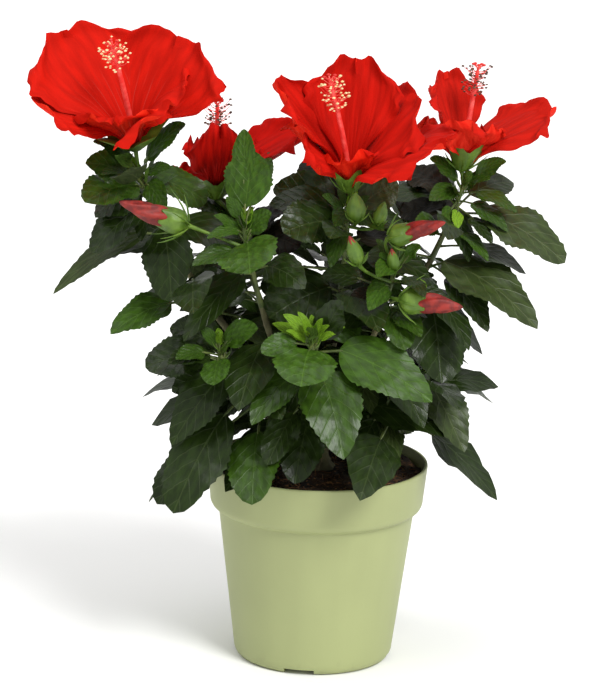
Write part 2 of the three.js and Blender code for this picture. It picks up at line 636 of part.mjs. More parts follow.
for (const bud of buds) {
  const shoot = shootNamed(bud.shoot);
  shoot.parts.push(keep(shoot.name, 'bud', budSolid(shoot.line.getPoint(bud.at), bud)));
}

// The marked leaves have the first choice of place, then each shoot in turn adds a leaf.
shoots.forEach((shoot, order) => {
  (shoot.marked ?? []).forEach((leaf, index) => {
    growLeaf(shoot, order, markedSeed + index, leaf, markedSpread);
  });
});
const mostLeaves = Math.max(...shoots.map((shoot) => shoot.leaves));
for (let index = 0; index < mostLeaves; index += 1) {
  shoots.forEach((shoot, order) => {
    if (index >= shoot.leaves) return;
    growLeaf(shoot, order, index, ruledLeaf(shoot, order, index), ruledSpread);
  });
}

for (const shoot of shoots) {
  pieces.push([`foliage_${shoot.name}`, fused(shoot.parts), paint.leaf]);
}

// ---------------------------------------------------------------- the part

const plant = new THREE.Group();
for (const [name, solid, [color, roughness]] of pieces) {
  const mesh = solid.getMesh();
  const geometry = new THREE.BufferGeometry();
  geometry.setAttribute('position', new THREE.BufferAttribute(mesh.vertProperties, 3));
  geometry.setIndex(new THREE.BufferAttribute(mesh.triVerts, 1));
  const node = new THREE.Mesh(
    geometry, new THREE.MeshStandardMaterial({ color, roughness, metalness: 0 }));
  node.name = name;
  plant.add(node);
}

export default plant;
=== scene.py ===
import math

import bmesh
import bpy
import numpy as np
from mathutils import Matrix, Vector, kdtree, noise


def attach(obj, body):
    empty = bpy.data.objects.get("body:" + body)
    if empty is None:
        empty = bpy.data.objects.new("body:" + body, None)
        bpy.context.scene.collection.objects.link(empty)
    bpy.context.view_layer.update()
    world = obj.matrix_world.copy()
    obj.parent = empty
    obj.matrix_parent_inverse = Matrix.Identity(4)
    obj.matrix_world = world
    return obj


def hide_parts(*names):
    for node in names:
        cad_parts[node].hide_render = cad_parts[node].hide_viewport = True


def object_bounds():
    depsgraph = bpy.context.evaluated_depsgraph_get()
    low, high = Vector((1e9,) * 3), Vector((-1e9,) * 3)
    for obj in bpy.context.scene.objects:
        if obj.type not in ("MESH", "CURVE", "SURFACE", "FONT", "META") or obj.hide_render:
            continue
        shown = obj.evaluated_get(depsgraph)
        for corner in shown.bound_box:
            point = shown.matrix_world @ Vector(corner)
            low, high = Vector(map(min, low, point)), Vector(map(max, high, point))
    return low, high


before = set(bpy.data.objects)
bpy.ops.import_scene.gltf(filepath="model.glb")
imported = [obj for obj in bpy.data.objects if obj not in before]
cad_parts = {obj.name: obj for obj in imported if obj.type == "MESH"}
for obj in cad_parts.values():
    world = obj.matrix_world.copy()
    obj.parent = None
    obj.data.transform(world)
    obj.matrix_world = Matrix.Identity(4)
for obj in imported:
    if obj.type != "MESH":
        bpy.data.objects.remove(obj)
cadBox = [list(corner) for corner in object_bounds()]
mm = 0.001  # shapes are worked out in millimetres, as the part is, and built in metres

viewer = {"place": (-0.0121, -2.0, 0.6912), "down": 14.08, "roll": 1.47, "lens": 186.15}
studio = {
    "sky": (1.0, 1.0, 1.0), "skyStrength": 0.62, "aim": (0, 0, 0.2), "farthest": 60,
    "floor": (0.93, 0.93, 0.92), "floorSize": 16.0, "floorDrop": 0.0002, "floorRough": 0.9,
    "lamps": [  # name, place that it shines from, strength, how soft it is in degrees
        ("keyLamp", (0.9, -1.3, 1.7), 2.5, 22.0),
        ("topLamp", (-0.5, -0.2, 2.0), 1.1, 50.0),
    ],
}


def setCamera():
    bpy.ops.object.camera_add()
    camera = bpy.context.object
    camera.name = "viewCamera"
    turn = Matrix.Rotation(math.radians(90 - viewer["down"]), 4, "X")
    turn = turn @ Matrix.Rotation(math.radians(viewer["roll"]), 4, "Z")
    camera.matrix_world = Matrix.Translation(viewer["place"]) @ turn
    camera.data.lens = viewer["lens"]
    camera.data.clip_end = studio["farthest"]
    bpy.context.scene.camera = camera


def setLights():
    for name, place, power, softness in studio["lamps"]:
        bpy.ops.object.light_add(type="SUN", location=place)
        lamp = bpy.context.object
        lamp.name = name
        lamp.data.energy = power
        lamp.data.angle = math.radians(softness)
        aim = Vector(studio["aim"]) - Vector(place)
        lamp.rotation_euler = aim.to_track_quat("-Z", "Y").to_euler()
    world = bpy.data.worlds.new("studioSky")
    world.use_nodes = True
    sky = world.node_tree.nodes["Background"]
    sky.inputs["Color"].default_value = (*studio["sky"], 1)
    sky.inputs["Strength"].default_value = studio["skyStrength"]
    bpy.context.scene.world = world
    bpy.context.scene.view_settings.view_transform = "Standard"


def feed(tree, socket, value):  # a value, or a link from another node's socket
    if isinstance(value, bpy.types.NodeSocket):
        tree.links.new(value, socket)
    else:
        socket.default_value = value


def addNode(tree, kind, settings=None, inputs=None):
    node = tree.nodes.new(kind)
    for name, value in (settings or {}).items():
        setattr(node, name, value)
    for name, value in (inputs or {}).items():
        feed(tree, node.inputs[name], value)
    return node


def calc(tree, operation, *values):
    return addNode(tree, "ShaderNodeMath", {"operation": operation}, dict(enumerate(values))).outputs[0]


def times(tree, first, second):
    return calc(tree, "MULTIPLY", first, second)


def plus(tree, first, second):
    return calc(tree, "ADD", first, second)


def less(tree, first, second):
    return calc(tree, "SUBTRACT", first, second)


def ramp(tree, value, low, high):  # 0 below low, 1 above high, smooth between
    settings = {"interpolation_type": "SMOOTHSTEP"}
    inputs = {0: value, 1: low, 2: high, 3: 0.0, 4: 1.0}
    return addNode(tree, "ShaderNodeMapRange", settings, inputs).outputs[0]


def blendColours(tree, share, first, second):
    inputs = {0: share}
    for socket, value in ((6, first), (7, second)):
        inputs[socket] = (*value, 1) if isinstance(value, tuple) else value
    return addNode(tree, "ShaderNodeMix", {"data_type": "RGBA"}, inputs).outputs[2]


def fromScreen(red, green, blue):  # a colour as seen on a screen, 0 to 255, as linear light
    shares = [value / 255 for value in (red, green, blue)]
    return tuple(v / 12.92 if v < 0.04045 else ((v + 0.055) / 1.055) ** 2.4 for v in shares)


def shaded(colour, by):
    return tuple(min(value * by, 1) for value in colour)


def newMaterial(name, colour, roughness, sockets=None):
    material = bpy.data.materials.new(name)
    material.use_nodes = True
    tree = material.node_tree
    shader = tree.nodes["Principled BSDF"]
    shader.inputs["Base Color"].default_value = (*colour, 1)
    shader.inputs["Roughness"].default_value = roughness
    for socket, value in (sockets or {}).items():
        shader.inputs[socket].default_value = value
    return material, tree, shader


def coat(tree, shader, colour, height, strength, depth):
    tree.links.new(colour, shader.inputs["Base Color"])
    bump = addNode(tree, "ShaderNodeBump", {}, {
        "Strength": strength, "Distance": depth, "Height": height})
    tree.links.new(bump.outputs["Normal"], shader.inputs["Normal"])


def objectPlace(tree):
    return addNode(tree, "ShaderNodeTexCoord").outputs["Object"]


def noiseAt(tree, place, scale, detail, stretch=None):
    if stretch:
        mapping = addNode(tree, "ShaderNodeMapping", {}, {"Vector": place, "Scale": stretch})
        place = mapping.outputs[0]
    inputs = {"Vector": place, "Scale": scale, "Detail": detail}
    return addNode(tree, "ShaderNodeTexNoise", {}, inputs).outputs[0]


sheetCells = (4, 2)  # the leaf looks share one map, each in its own cell
petalCells = (2, 1)  # inner faces, outer faces
halfCell, pastEnd = 1.1, 0.05  # a cell reaches this far to each side of a blade and past its ends
cellWide, cellLong = 2 * halfCell, 1 + 2 * pastEnd


# Place across a blade, -1 to 1, and along it, 0 to 1, in one cell of the map.
def cellPlace(tree, cell, cells):
    uv = addNode(tree, "ShaderNodeUVMap", {"uv_map": "OFBake"}).outputs[0]
    column, row = cell % cells[0], cell // cells[0]
    mapping = addNode(tree, "ShaderNodeMapping", {}, {
        "Vector": uv, "Scale": (cells[0] * cellWide, cells[1] * cellLong, 1),
        "Location": (-column * cellWide - halfCell, -row * cellLong - pastEnd, 0)})
    split = addNode(tree, "ShaderNodeSeparateXYZ", {}, {0: mapping.outputs[0]})
    return mapping.outputs[0], split.outputs[0], split.outputs[1]


leafLooks = {
    "old": {"colour": (31, 46, 12), "veins": (68, 82, 42), "rough": 0.3, "shine": 0.26, "show": 0.34},
    "bronze": {"colour": (33, 29, 17), "veins": (60, 54, 36), "rough": 0.42, "shine": 0.12, "show": 0.36},
    "grey": {"colour": (50, 64, 26), "veins": (92, 102, 64), "rough": 0.4, "shine": 0.32, "show": 0.36},
    "mid": {"colour": (46, 71, 15), "veins": (78, 102, 44), "rough": 0.34, "shine": 0.26, "show": 0.32},
    "bright": {"colour": (51, 79, 17), "veins": (88, 120, 44), "rough": 0.38, "shine": 0.2, "show": 0.3},
    "lime": {"colour": (108, 146, 34), "veins": (130, 158, 66), "rough": 0.45, "shine": 0.14, "show": 0.3},
    "underOld": {"colour": (62, 74, 42), "veins": (98, 108, 68), "rough": 0.65, "shine": 0.12, "show": 0.45},
    "underYoung": {"colour": (74, 102, 36), "veins": (114, 138, 68), "rough": 0.6, "shine": 0.12,
                   "show": 0.4},
}
leafVeins = {"pairs": 5.6, "lean": 0.32, "curve": 0.12, "width": 0.06, "rib": 0.03,
             "relief": 0.0004}


def leafMaterial(name, cell):
    look = leafLooks[name]
    base = fromScreen(*look["colour"])
    material, tree, shader = newMaterial(
        f"leaf{name[0].upper()}{name[1:]}", base, look["rough"],
        {"Specular IOR Level": look["shine"]})
    place, x, y = cellPlace(tree, cell, sheetCells)
    out = calc(tree, "ABSOLUTE", x)
    along = less(tree, y, times(tree, out, leafVeins["lean"]))
    along = less(tree, along, times(tree, times(tree, out, out), leafVeins["curve"]))
    saw = calc(tree, "PINGPONG", times(tree, along, leafVeins["pairs"]), 0.5)
    side = less(tree, 1.0, ramp(tree, saw, 0.02, leafVeins["width"]))
    side = times(tree, side, less(tree, 1.0, ramp(tree, out, 0.55, 1.0)))
    rib = less(tree, 1.0, ramp(tree, out, 0.012, leafVeins["rib"]))
    veins = calc(tree, "MAXIMUM", rib, times(tree, side, 0.75))
    mottle = noiseAt(tree, place, 5.0, 3.0)
    surface = blendColours(tree, ramp(tree, mottle, 0.35, 0.65), shaded(base, 0.72), shaded(base, 1.22))
    seen = times(tree, veins, look["show"])
    colour = blendColours(tree, seen, surface, fromScreen(*look["veins"]))
    height = less(tree, times(tree, calc(tree, "SQRT", saw), 0.8), times(tree, veins, 0.5))
    height = plus(tree, height, times(tree, mottle, 1.4))
    coat(tree, shader, colour, height, 0.6, leafVeins["relief"])
    return material


# Each look's outer colour, for the petals' outer faces, is darker than its inner colour as painted shade on
# the outside of the funnel.
petalLooks = {
    "left": {"colour": (236, 52, 26), "deep": (218, 32, 14), "outer": (198, 24, 10),
             "throat": (214, 40, 34), "veins": (246, 118, 104), "streak": 0.75},
    "middle": {"colour": (232, 46, 22), "deep": (212, 28, 11), "outer": (194, 22, 10),
               "throat": (186, 12, 8), "veins": (236, 84, 72), "streak": 0.4},
    "right": {"colour": (228, 50, 32), "deep": (204, 28, 14), "outer": (190, 26, 14),
              "throat": (186, 22, 16), "veins": (232, 86, 72), "streak": 0.5},
    # The wilted bloom's colours are darker than the others' partly from wilting and partly as painted shade,
    # for the shade it sits in at the back of the crown.
    "wilted": {"colour": (186, 18, 6), "deep": (146, 7, 3), "outer": (178, 14, 5),
               "throat": (120, 6, 4), "veins": (190, 34, 20), "streak": 0.35},
}
petalVeins = {"count": 17.0, "width": 0.12, "relief": 0.0005, "rough": 0.75, "shine": 0.06}
innerCell, outerCell = 0, 1


def petalMaterial(flower, cell):
    look = petalLooks[flower]
    inner = cell == innerCell
    # The outer faces take the darker outer colour, which is painted shade for the outside of the funnel.
    base = fromScreen(*look["colour" if inner else "outer"])
    name = f"petal{flower.title()}{'Inner' if inner else 'Outer'}"
    material, tree, shader = newMaterial(
        name, base, petalVeins["rough"], {"Specular IOR Level": petalVeins["shine"]})
    place, x, y = cellPlace(tree, cell, petalCells)
    swayed = plus(tree, x, times(tree, noiseAt(tree, place, 2.0, 1.0), 0.25))
    saw = calc(tree, "PINGPONG", times(tree, swayed, petalVeins["count"] / 2), 0.5)
    line = less(tree, 1.0, ramp(tree, saw, 0.02, petalVeins["width"]))
    patchy = ramp(tree, noiseAt(tree, place, 3.4, 2.0, (3.0, 0.5, 1.0)), 0.4, 0.62)
    near = less(tree, 1.0, ramp(tree, y, 0.16, 0.68))
    near = times(tree, near, ramp(tree, y, 0.02, 0.16))
    streak = times(tree, times(tree, line, near), patchy)
    mottle = noiseAt(tree, place, 2.6, 4.0, (3.0, 1.0, 1.0))
    deep = fromScreen(*look["deep"]) if inner else shaded(base, 0.72)
    colour = blendColours(tree, ramp(tree, mottle, 0.3, 0.72), deep, base)
    if inner:
        throat = times(tree, less(tree, 1.0, ramp(tree, y, 0.1, 0.4)), 0.7)
        colour = blendColours(tree, throat, colour, fromScreen(*look["throat"]))
    drawn = times(tree, streak, look["streak"] * (1 if inner else 0.3))
    colour = blendColours(tree, drawn, colour, fromScreen(*look["veins"]))
    height = less(tree, plus(tree, saw, times(tree, mottle, 1.2)), streak)
    coat(tree, shader, colour, height, 0.6, petalVeins["relief"])
    return material


potLook = {"colour": (154, 161, 110), "scuffs": (124, 126, 90), "grain": 0.00008, "rough": 0.5}


def potMaterial():
    base = fromScreen(*potLook["colour"])
    material, tree, shader = newMaterial("potPlastic", base, potLook["rough"])
    place = objectPlace(tree)
    cloudy = noiseAt(tree, place, 14.0, 4.0)
    streaks = noiseAt(tree, place, 60.0, 2.0, (1.0, 1.0, 0.06))
    share = plus(tree, times(tree, cloudy, 0.7), times(tree, streaks, 0.3))
    colour = blendColours(tree, ramp(tree, share, 0.3, 0.7), shaded(base, 0.93), shaded(base, 1.05))
    height = addNode(tree, "ShaderNodeSeparateXYZ", {}, {0: place}).outputs[2]
    foot = less(tree, 1.0, ramp(tree, height, 0.0, 0.012))
    worn = times(tree, foot, ramp(tree, noiseAt(tree, place, 160.0, 3.0), 0.5, 0.75))
    colour = blendColours(tree, times(tree, worn, 0.4), colour, fromScreen(*potLook["scuffs"]))
    rough = plus(tree, potLook["rough"] - 0.06, times(tree, cloudy, 0.12))
    tree.links.new(rough, shader.inputs["Roughness"])
    coat(tree, shader, colour, noiseAt(tree, place, 900.0, 3.0), 0.35, potLook["grain"])
    return material


# Looks of what is grown or crumbles: a first colour, others laid over it as (noise, where it shows,
# how much, colour), and the noise, strength and depth of the bump.
def twoTone(first, second, rough, scale=150.0):
    return {"colour": first, "first": first, "rough": rough,
            "over": [((scale, 4.0), (0.38, 0.66), 1, second)],
            "grain": (scale * 3, 3.0), "bump": (0.5, 0.0003)}


grownLooks = {
    "peat": {"colour": (44, 32, 22), "first": (22, 15, 10), "rough": 0.95,
             "over": [((60.0, 3.0), (0.35, 0.65), 1, (62, 42, 26)),
                      ((420.0, 5.0), (0.53, 0.7), 0.8, (138, 96, 58))],
             "grain": (420.0, 5.0), "bump": (1.0, 0.0012)},
    "bark": {"colour": (92, 88, 56), "first": (72, 70, 44), "rough": 0.8,
             "over": [((70.0, 3.0), (0.4, 0.65), 1, (108, 106, 70)),
                      ((260.0, 5.0, (1.0, 1.0, 0.25)), (0.55, 0.7), 1, (134, 120, 88))],
             "grain": (260.0, 5.0, (1.0, 1.0, 0.25)), "bump": (0.8, 0.0006)},
    "peatFibre": twoTone((96, 64, 38), (150, 108, 66), 0.9, 300.0),
    "greenStem": twoTone((66, 82, 34), (98, 110, 54), 0.5),
    "calyxGreen": twoTone((72, 102, 22), (98, 128, 38), 0.5),
    "budRed": twoTone((102, 12, 7), (146, 33, 21), 0.6, 220.0),
    "columnRed": twoTone((236, 52, 46), (248, 98, 90), 0.5, 200.0),
    "antherCream": twoTone((226, 196, 136), (240, 222, 176), 0.7, 600.0),
    "antherDark": twoTone((70, 44, 34), (110, 78, 56), 0.8, 600.0),
    "padRed": twoTone((196, 20, 16), (220, 50, 40), 0.6, 400.0),
}


def grownMaterial(name, look):
    material, tree, shader = newMaterial(name, fromScreen(*look["colour"]), look["rough"])
    place = objectPlace(tree)
    colour = fromScreen(*look["first"])
    for spots, shown, share, laid in look["over"]:
        seen = times(tree, ramp(tree, noiseAt(tree, place, *spots), *shown), share)
        colour = blendColours(tree, seen, colour, fromScreen(*laid))
    coat(tree, shader, colour, noiseAt(tree, place, *look["grain"]), *look["bump"])
    return material


lookNames = list(leafLooks)
leafMaterials = [leafMaterial(name, cell) for cell, name in enumerate(lookNames)]
potPlastic = potMaterial()
grown = {name: grownMaterial(name, look) for name, look in grownLooks.items()}
print("materials made")


def deselectAll():
    if bpy.context.object and bpy.context.object.mode != "OBJECT":
        bpy.ops.object.mode_set(mode="OBJECT")
    bpy.ops.object.select_all(action="DESELECT")


def selectOnly(piece):
    deselectAll()
    piece.select_set(True)
    bpy.context.view_layer.objects.active = piece


def mix(a, b, t):
    return a + (b - a) * t


def smooth(t, low, high):
    share = np.clip((t - low) / (high - low), 0, 1)
    return share * share * (3 - 2 * share)


def unit(vector):
    vector = np.asarray(vector, float)
    return vector / np.maximum(np.linalg.norm(vector, axis=-1, keepdims=True), 1e-9)


def heading(turn, dip):  # turned about the upright and dipped below the level, in radians
    return np.array([math.cos(turn) * math.cos(dip), math.sin(turn) * math.cos(dip), -math.sin(dip)])


def seeded(seed):  # the source's own run of numbers
    state = [seed]

    def roll():
        state[0] = (state[0] * 1664525 + 1013904223) % 4294967296
        return state[0] / 4294967296
    return roll


def bendPoint(bend, t):
    t = np.asarray(t, float)[..., None]
    return (1 - t) ** 2 * bend[0] + 2 * t * (1 - t) * bend[1] + t * t * bend[2]


def bendAlong(bend, t):
    t = np.asarray(t, float)[..., None]
    return unit((1 - t) * (bend[1] - bend[0]) + t * (bend[2] - bend[1]))


def newHeap():
    return {"points": [], "faces": [], "blade": [], "looks": [], "count": 0}


# Adds one small mesh to a heap; look is one number or one for each face.
def pile(heap, points, faces, look, blade=None):
    heap["faces"] += [tuple(index + heap["count"] for index in face) for face in faces]
    heap["points"].append(points)
    heap["blade"].append(np.zeros((len(points), 2)) if blade is None else blade)
    heap["looks"] += [look] * len(faces) if isinstance(look, int) else list(look)
    heap["count"] += len(points)


# Joins a heap into one piece that rides on the plant's one body.
def heapPiece(name, heap, materials, replaced, cells=None, smoothTo=55):
    deselectAll()
    mesh = bpy.data.meshes.new(name)
    mesh.from_pydata((np.concatenate(heap["points"]) * mm).tolist(), [], heap["faces"])
    piece = bpy.data.objects.new(name, mesh)
    bpy.context.scene.collection.objects.link(piece)
    used = sorted(set(heap["looks"]))
    for look in used:
        mesh.materials.append(materials[look])
    slots = np.array([used.index(look) for look in heap["looks"]], np.int32)
    mesh.polygons.foreach_set("material_index", slots)
    if cells:
        blade = np.concatenate(heap["blade"])
        corners = np.zeros(len(mesh.loops), np.int32)
        mesh.loops.foreach_get("vertex_index", corners)
        counts = np.array([len(face) for face in heap["faces"]])
        looks = np.repeat(np.array(heap["looks"]), counts)
        columns, rows = looks % cells[0], looks // cells[0]
        u = ((blade[corners, 0] + halfCell) / cellWide + columns) / cells[0]
        v = ((blade[corners, 1] + pastEnd) / cellLong + rows) / cells[1]
        layer = mesh.uv_layers.new(name="OFBake")
        layer.data.foreach_set("uv", np.stack([u, v], 1).astype(np.float32).ravel())
    mesh.validate()
    finishPiece(piece, replaced, smoothTo)
    return piece


def finishPiece(piece, replaced, smoothTo):
    selectOnly(piece)
    bpy.ops.object.transform_apply(location=True, rotation=True, scale=True)
    bpy.ops.object.shade_smooth_by_angle(angle=math.radians(smoothTo))
    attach(piece, "root")
    if replaced:
        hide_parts(*replaced)
    deselectAll()


# In edit mode, selects the vertices whose place passes the test, and nothing else.
def selectWhere(piece, test):
    bpy.ops.mesh.select_mode(type="VERT")
    bpy.ops.mesh.select_all(action="DESELECT")
    form = bmesh.from_edit_mesh(piece.data)
    for vertex in form.verts:
        if test(vertex.co):
            vertex.select_set(True)
    form.select_flush(True)
    bmesh.update_edit_mesh(piece.data)


# The shape of a finished master as arrays; the object itself is removed.
def takeMaster(piece):
    deselectAll()
    points = np.array([vertex.co for vertex in piece.data.vertices], float)
    faces = [tuple(face.vertices) for face in piece.data.polygons]
    bpy.data.objects.remove(piece)
    return points, faces


# A closed thin sheet: x from -1 to 1 across, y from 0 to 1 along, z 0 on the upper face
# and round the edge and -1 on the lower face.
def sheetMaster(across, along, rowWidth=None):
    deselectAll()
    bpy.ops.mesh.primitive_grid_add(
        x_subdivisions=across, y_subdivisions=along, size=2, location=(0, 0, 0))
    sheet = bpy.context.object
    bpy.ops.object.mode_set(mode="EDIT")
    bpy.ops.transform.resize(value=(1, 0.5, 1), center_override=(0, -1, 0))
    bpy.ops.transform.translate(value=(0, 1, 0))
    if rowWidth:
        for row in range(along + 1):
            y = row / along
            selectWhere(sheet, lambda spot: abs(spot.y - y) < 0.2 / along)
            bpy.ops.transform.resize(value=(rowWidth(row, y), 1, 1), center_override=(0, y, 0))
    bpy.ops.mesh.select_all(action="SELECT")
    bpy.ops.mesh.duplicate()
    bpy.ops.mesh.flip_normals()
    bpy.ops.transform.translate(value=(0, 0, -1))
    bpy.ops.mesh.region_to_loop()
    bpy.ops.transform.translate(value=(0, 0, 1))
    bpy.ops.mesh.select_all(action="SELECT")
    bpy.ops.mesh.remove_doubles(threshold=1e-5)
    bpy.ops.object.mode_set(mode="OBJECT")
    return takeMaster(sheet)


# Quads between rings of points and a fan to the pole at each end, the poles' points coming last.
# Where the rings widen from the first, reverse turns the faces outward again.
def ringFaces(rings, sides, reverse=False):
    faces, last = [], (rings - 1) * sides
    for start in range(0, last, sides):
        for k in range(sides):
            a, b = start + k, start + (k + 1) % sides
            faces.append((a, b, b + sides, a + sides))
    for k in range(sides):
        after = (k + 1) % sides
        faces += [(last + sides, after, k), (last + sides + 1, last + k, last + after)]
    return [(face[0], *face[:0:-1]) for face in faces] if reverse else faces


# A closed round tube along a bend, with a pole at each end.
def tube(heap, line, shares, radii, sides, look, relief=None):
    shares = np.asarray(shares, float)
    centres, along = bendPoint(line, shares), bendAlong(line, shares)
    aside = np.cross((0.31, 0.23, 1.0), line[2] - line[0])
    side = unit(aside - along * (along @ aside)[:, None])
    other = np.cross(along, side)
    angles = np.arange(sides) / sides * 2 * math.pi
    wheel = np.cos(angles)[None, :, None] * side[:, None] + np.sin(angles)[None, :, None] * other[:, None]
    radii = np.asarray(radii, float)[:, None, None] * np.ones((1, sides, 1))
    if relief is not None:
        radii = radii + relief(shares, angles)[..., None]
    rings = centres[:, None] + wheel * radii
    points = np.concatenate([rings.reshape(-1, 3), centres[:1], centres[-1:]])
    pile(heap, points, ringFaces(len(shares), sides), look)


pot = {
    "height": 118, "rimRadius": 65, "wall": 1.8, "floor": 4.6, "sides": 144,
    "bandHeight": 22.4, "bandTaper": 2.2, "stepDrop": 6.3, "bodyTopRadius": 57.6,
    "footRadius": 43.6, "footRound": 3.5, "footRise": 6.8, "archHeight": 3.2, "skirtWidth": 2.6,
    "discRadius": 18, "notches": 4, "notchTurn": -10, "notchWidth": 18, "notchHeight": 3.2,
    "notchDepth": 12,
}
soil = {
    "level": 114, "edgeDrop": 2.0, "edge": 61.4, "rings": 44, "sides": 120, "seed": 41,
    "crumbs": 420, "crumbSize": (0.5, 2.2), "crumbReach": 60,
    "fibres": 150, "fibreLong": (3, 10), "fibreReach": (58, 61),  # of its first end and its other
}
bandFoot = pot["height"] - pot["bandHeight"]
bandRadius = pot["rimRadius"] - pot["bandTaper"]
stepFoot = bandFoot - pot["stepDrop"]
bodyFoot = pot["footRadius"] + pot["footRound"]


def potProfile():
    p = pot
    wall, rim, top = p["wall"], p["rimRadius"], p["height"]
    underside = [(0.01, 0), (p["discRadius"] - 0.5, 0), (p["discRadius"], 0.3),
                 (p["discRadius"] + 0.6, p["archHeight"]),
                 (p["footRadius"] - p["skirtWidth"] - 0.6, p["archHeight"]),
                 (p["footRadius"] - p["skirtWidth"], 0.2)]
    outside = [(p["footRadius"] - 0.4, 0), (p["footRadius"] + 0.4, 0.3)]
    outside += [(p["footRadius"] + mix(0.4, p["footRound"], math.sin(a) ** 1.2),
                 mix(0.3, p["footRise"], 1 - math.cos(a))) for a in (0.4, 0.8, 1.2, 1.57)]
    for share in (0.15, 0.3, 0.45, 0.6, 0.75, 0.88, 0.97):
        outside.append((mix(bodyFoot, p["bodyTopRadius"], share), mix(p["footRise"], stepFoot, share)))
    outside += [(p["bodyTopRadius"] + 0.15, stepFoot + 0.1), (p["bodyTopRadius"] + 0.9, stepFoot + 0.9)]
    for angle in (0.2, 0.5, 0.8, 1.1, 1.4):
        outside.append((mix(p["bodyTopRadius"] + 1.2, bandRadius, math.sin(angle)),
                        mix(stepFoot + 1.4, bandFoot + 0.4, 1 - math.cos(angle))))
    for share in (0.04, 0.2, 0.5, 0.8, 1):
        outside.append((mix(bandRadius, rim, share), mix(bandFoot + 0.6, top - 1.2, share)))
    lip = [(rim - 0.1, top - 0.55), (rim - 0.45, top - 0.1), (rim - 0.9, top),
           (rim - wall + 0.25, top - 0.1), (rim - wall, top - 0.6)]
    inside = [(mix(rim - wall, bandRadius - wall, 0.5), mix(top, bandFoot, 0.5)),
              (bandRadius - wall, bandFoot + 0.4), (p["bodyTopRadius"] - wall, stepFoot - 0.8),
              (bodyFoot - wall - 0.1, p["floor"] + 1.2), (bodyFoot - wall - 1.4, p["floor"]),
              (0.01, p["floor"])]
    return underside + outside + lip + inside


# One corner is drawn out along the profile, which is then spun round.
def makePot():
    deselectAll()
    profile = potProfile()
    bpy.ops.mesh.primitive_plane_add(size=mm, location=(0, 0, 0))
    shell = bpy.context.object
    shell.name = "pot_shell"
    bpy.ops.object.mode_set(mode="EDIT")
    bpy.ops.mesh.merge(type="CENTER")
    bpy.ops.transform.translate(value=(profile[0][0] * mm, 0, profile[0][1] * mm))
    for (r0, z0), (r1, z1) in zip(profile, profile[1:]):
        bpy.ops.mesh.extrude_vertices_move(
            TRANSFORM_OT_translate={"value": ((r1 - r0) * mm, 0, (z1 - z0) * mm)})
    bpy.ops.mesh.select_all(action="SELECT")
    bpy.ops.mesh.spin(steps=pot["sides"], angle=2 * math.pi, center=(0, 0, 0), axis=(0, 0, 1))
    bpy.ops.mesh.select_all(action="SELECT")
    bpy.ops.mesh.remove_doubles(threshold=2e-5)
    bpy.ops.mesh.normals_make_consistent(inside=False)
    bpy.ops.object.mode_set(mode="OBJECT")
    for index in range(pot["notches"]):
        turn = math.radians(pot["notchTurn"] - 90 + index * 360 / pot["notches"])
        place = (math.cos(turn) * pot["footRadius"] * mm, math.sin(turn) * pot["footRadius"] * mm, 0)
        bpy.ops.mesh.primitive_cube_add(size=1, location=place, rotation=(0, 0, turn))
        cutter = bpy.context.object
        cutter.scale = (pot["notchDepth"] * mm, pot["notchWidth"] * mm, pot["notchHeight"] * 2 * mm)
        bpy.ops.object.transform_apply(location=False, rotation=False, scale=True)
        bpy.ops.object.mode_set(mode="EDIT")
        selectWhere(cutter, lambda spot: spot.z > 0)
        bpy.ops.transform.resize(value=(1, 0.8, 1))
        bpy.ops.object.mode_set(mode="OBJECT")
        cut = shell.modifiers.new("notch", "BOOLEAN")
        cut.operation, cut.object, cut.solver = "DIFFERENCE", cutter, "EXACT"
        selectOnly(shell)
        bpy.ops.object.modifier_apply(modifier="notch")
        bpy.data.objects.remove(cutter)
    shell.data.materials.clear()
    shell.data.materials.append(potPlastic)
    finishPiece(shell, ["pot"], 32)


def soilHeight(x, y):
    r = math.hypot(x, y)
    spot = Vector((x * 0.09, y * 0.09, 0.0))
    lumps = noise.noise(spot) * 2.2 + noise.noise(spot * 3.1) * 1.3 + noise.noise(spot * 9) * 0.5
    sink = soil["edgeDrop"] * max(0, (r - 40) / 21) ** 2
    near = max(0.0, 1 - r / 16)
    return soil["level"] - 0.6 - sink + lumps * (1 - near) + near * 0.8


def soilSpot(x, y, over=0.0):
    return np.array([x, y, soilHeight(x, y) + over])


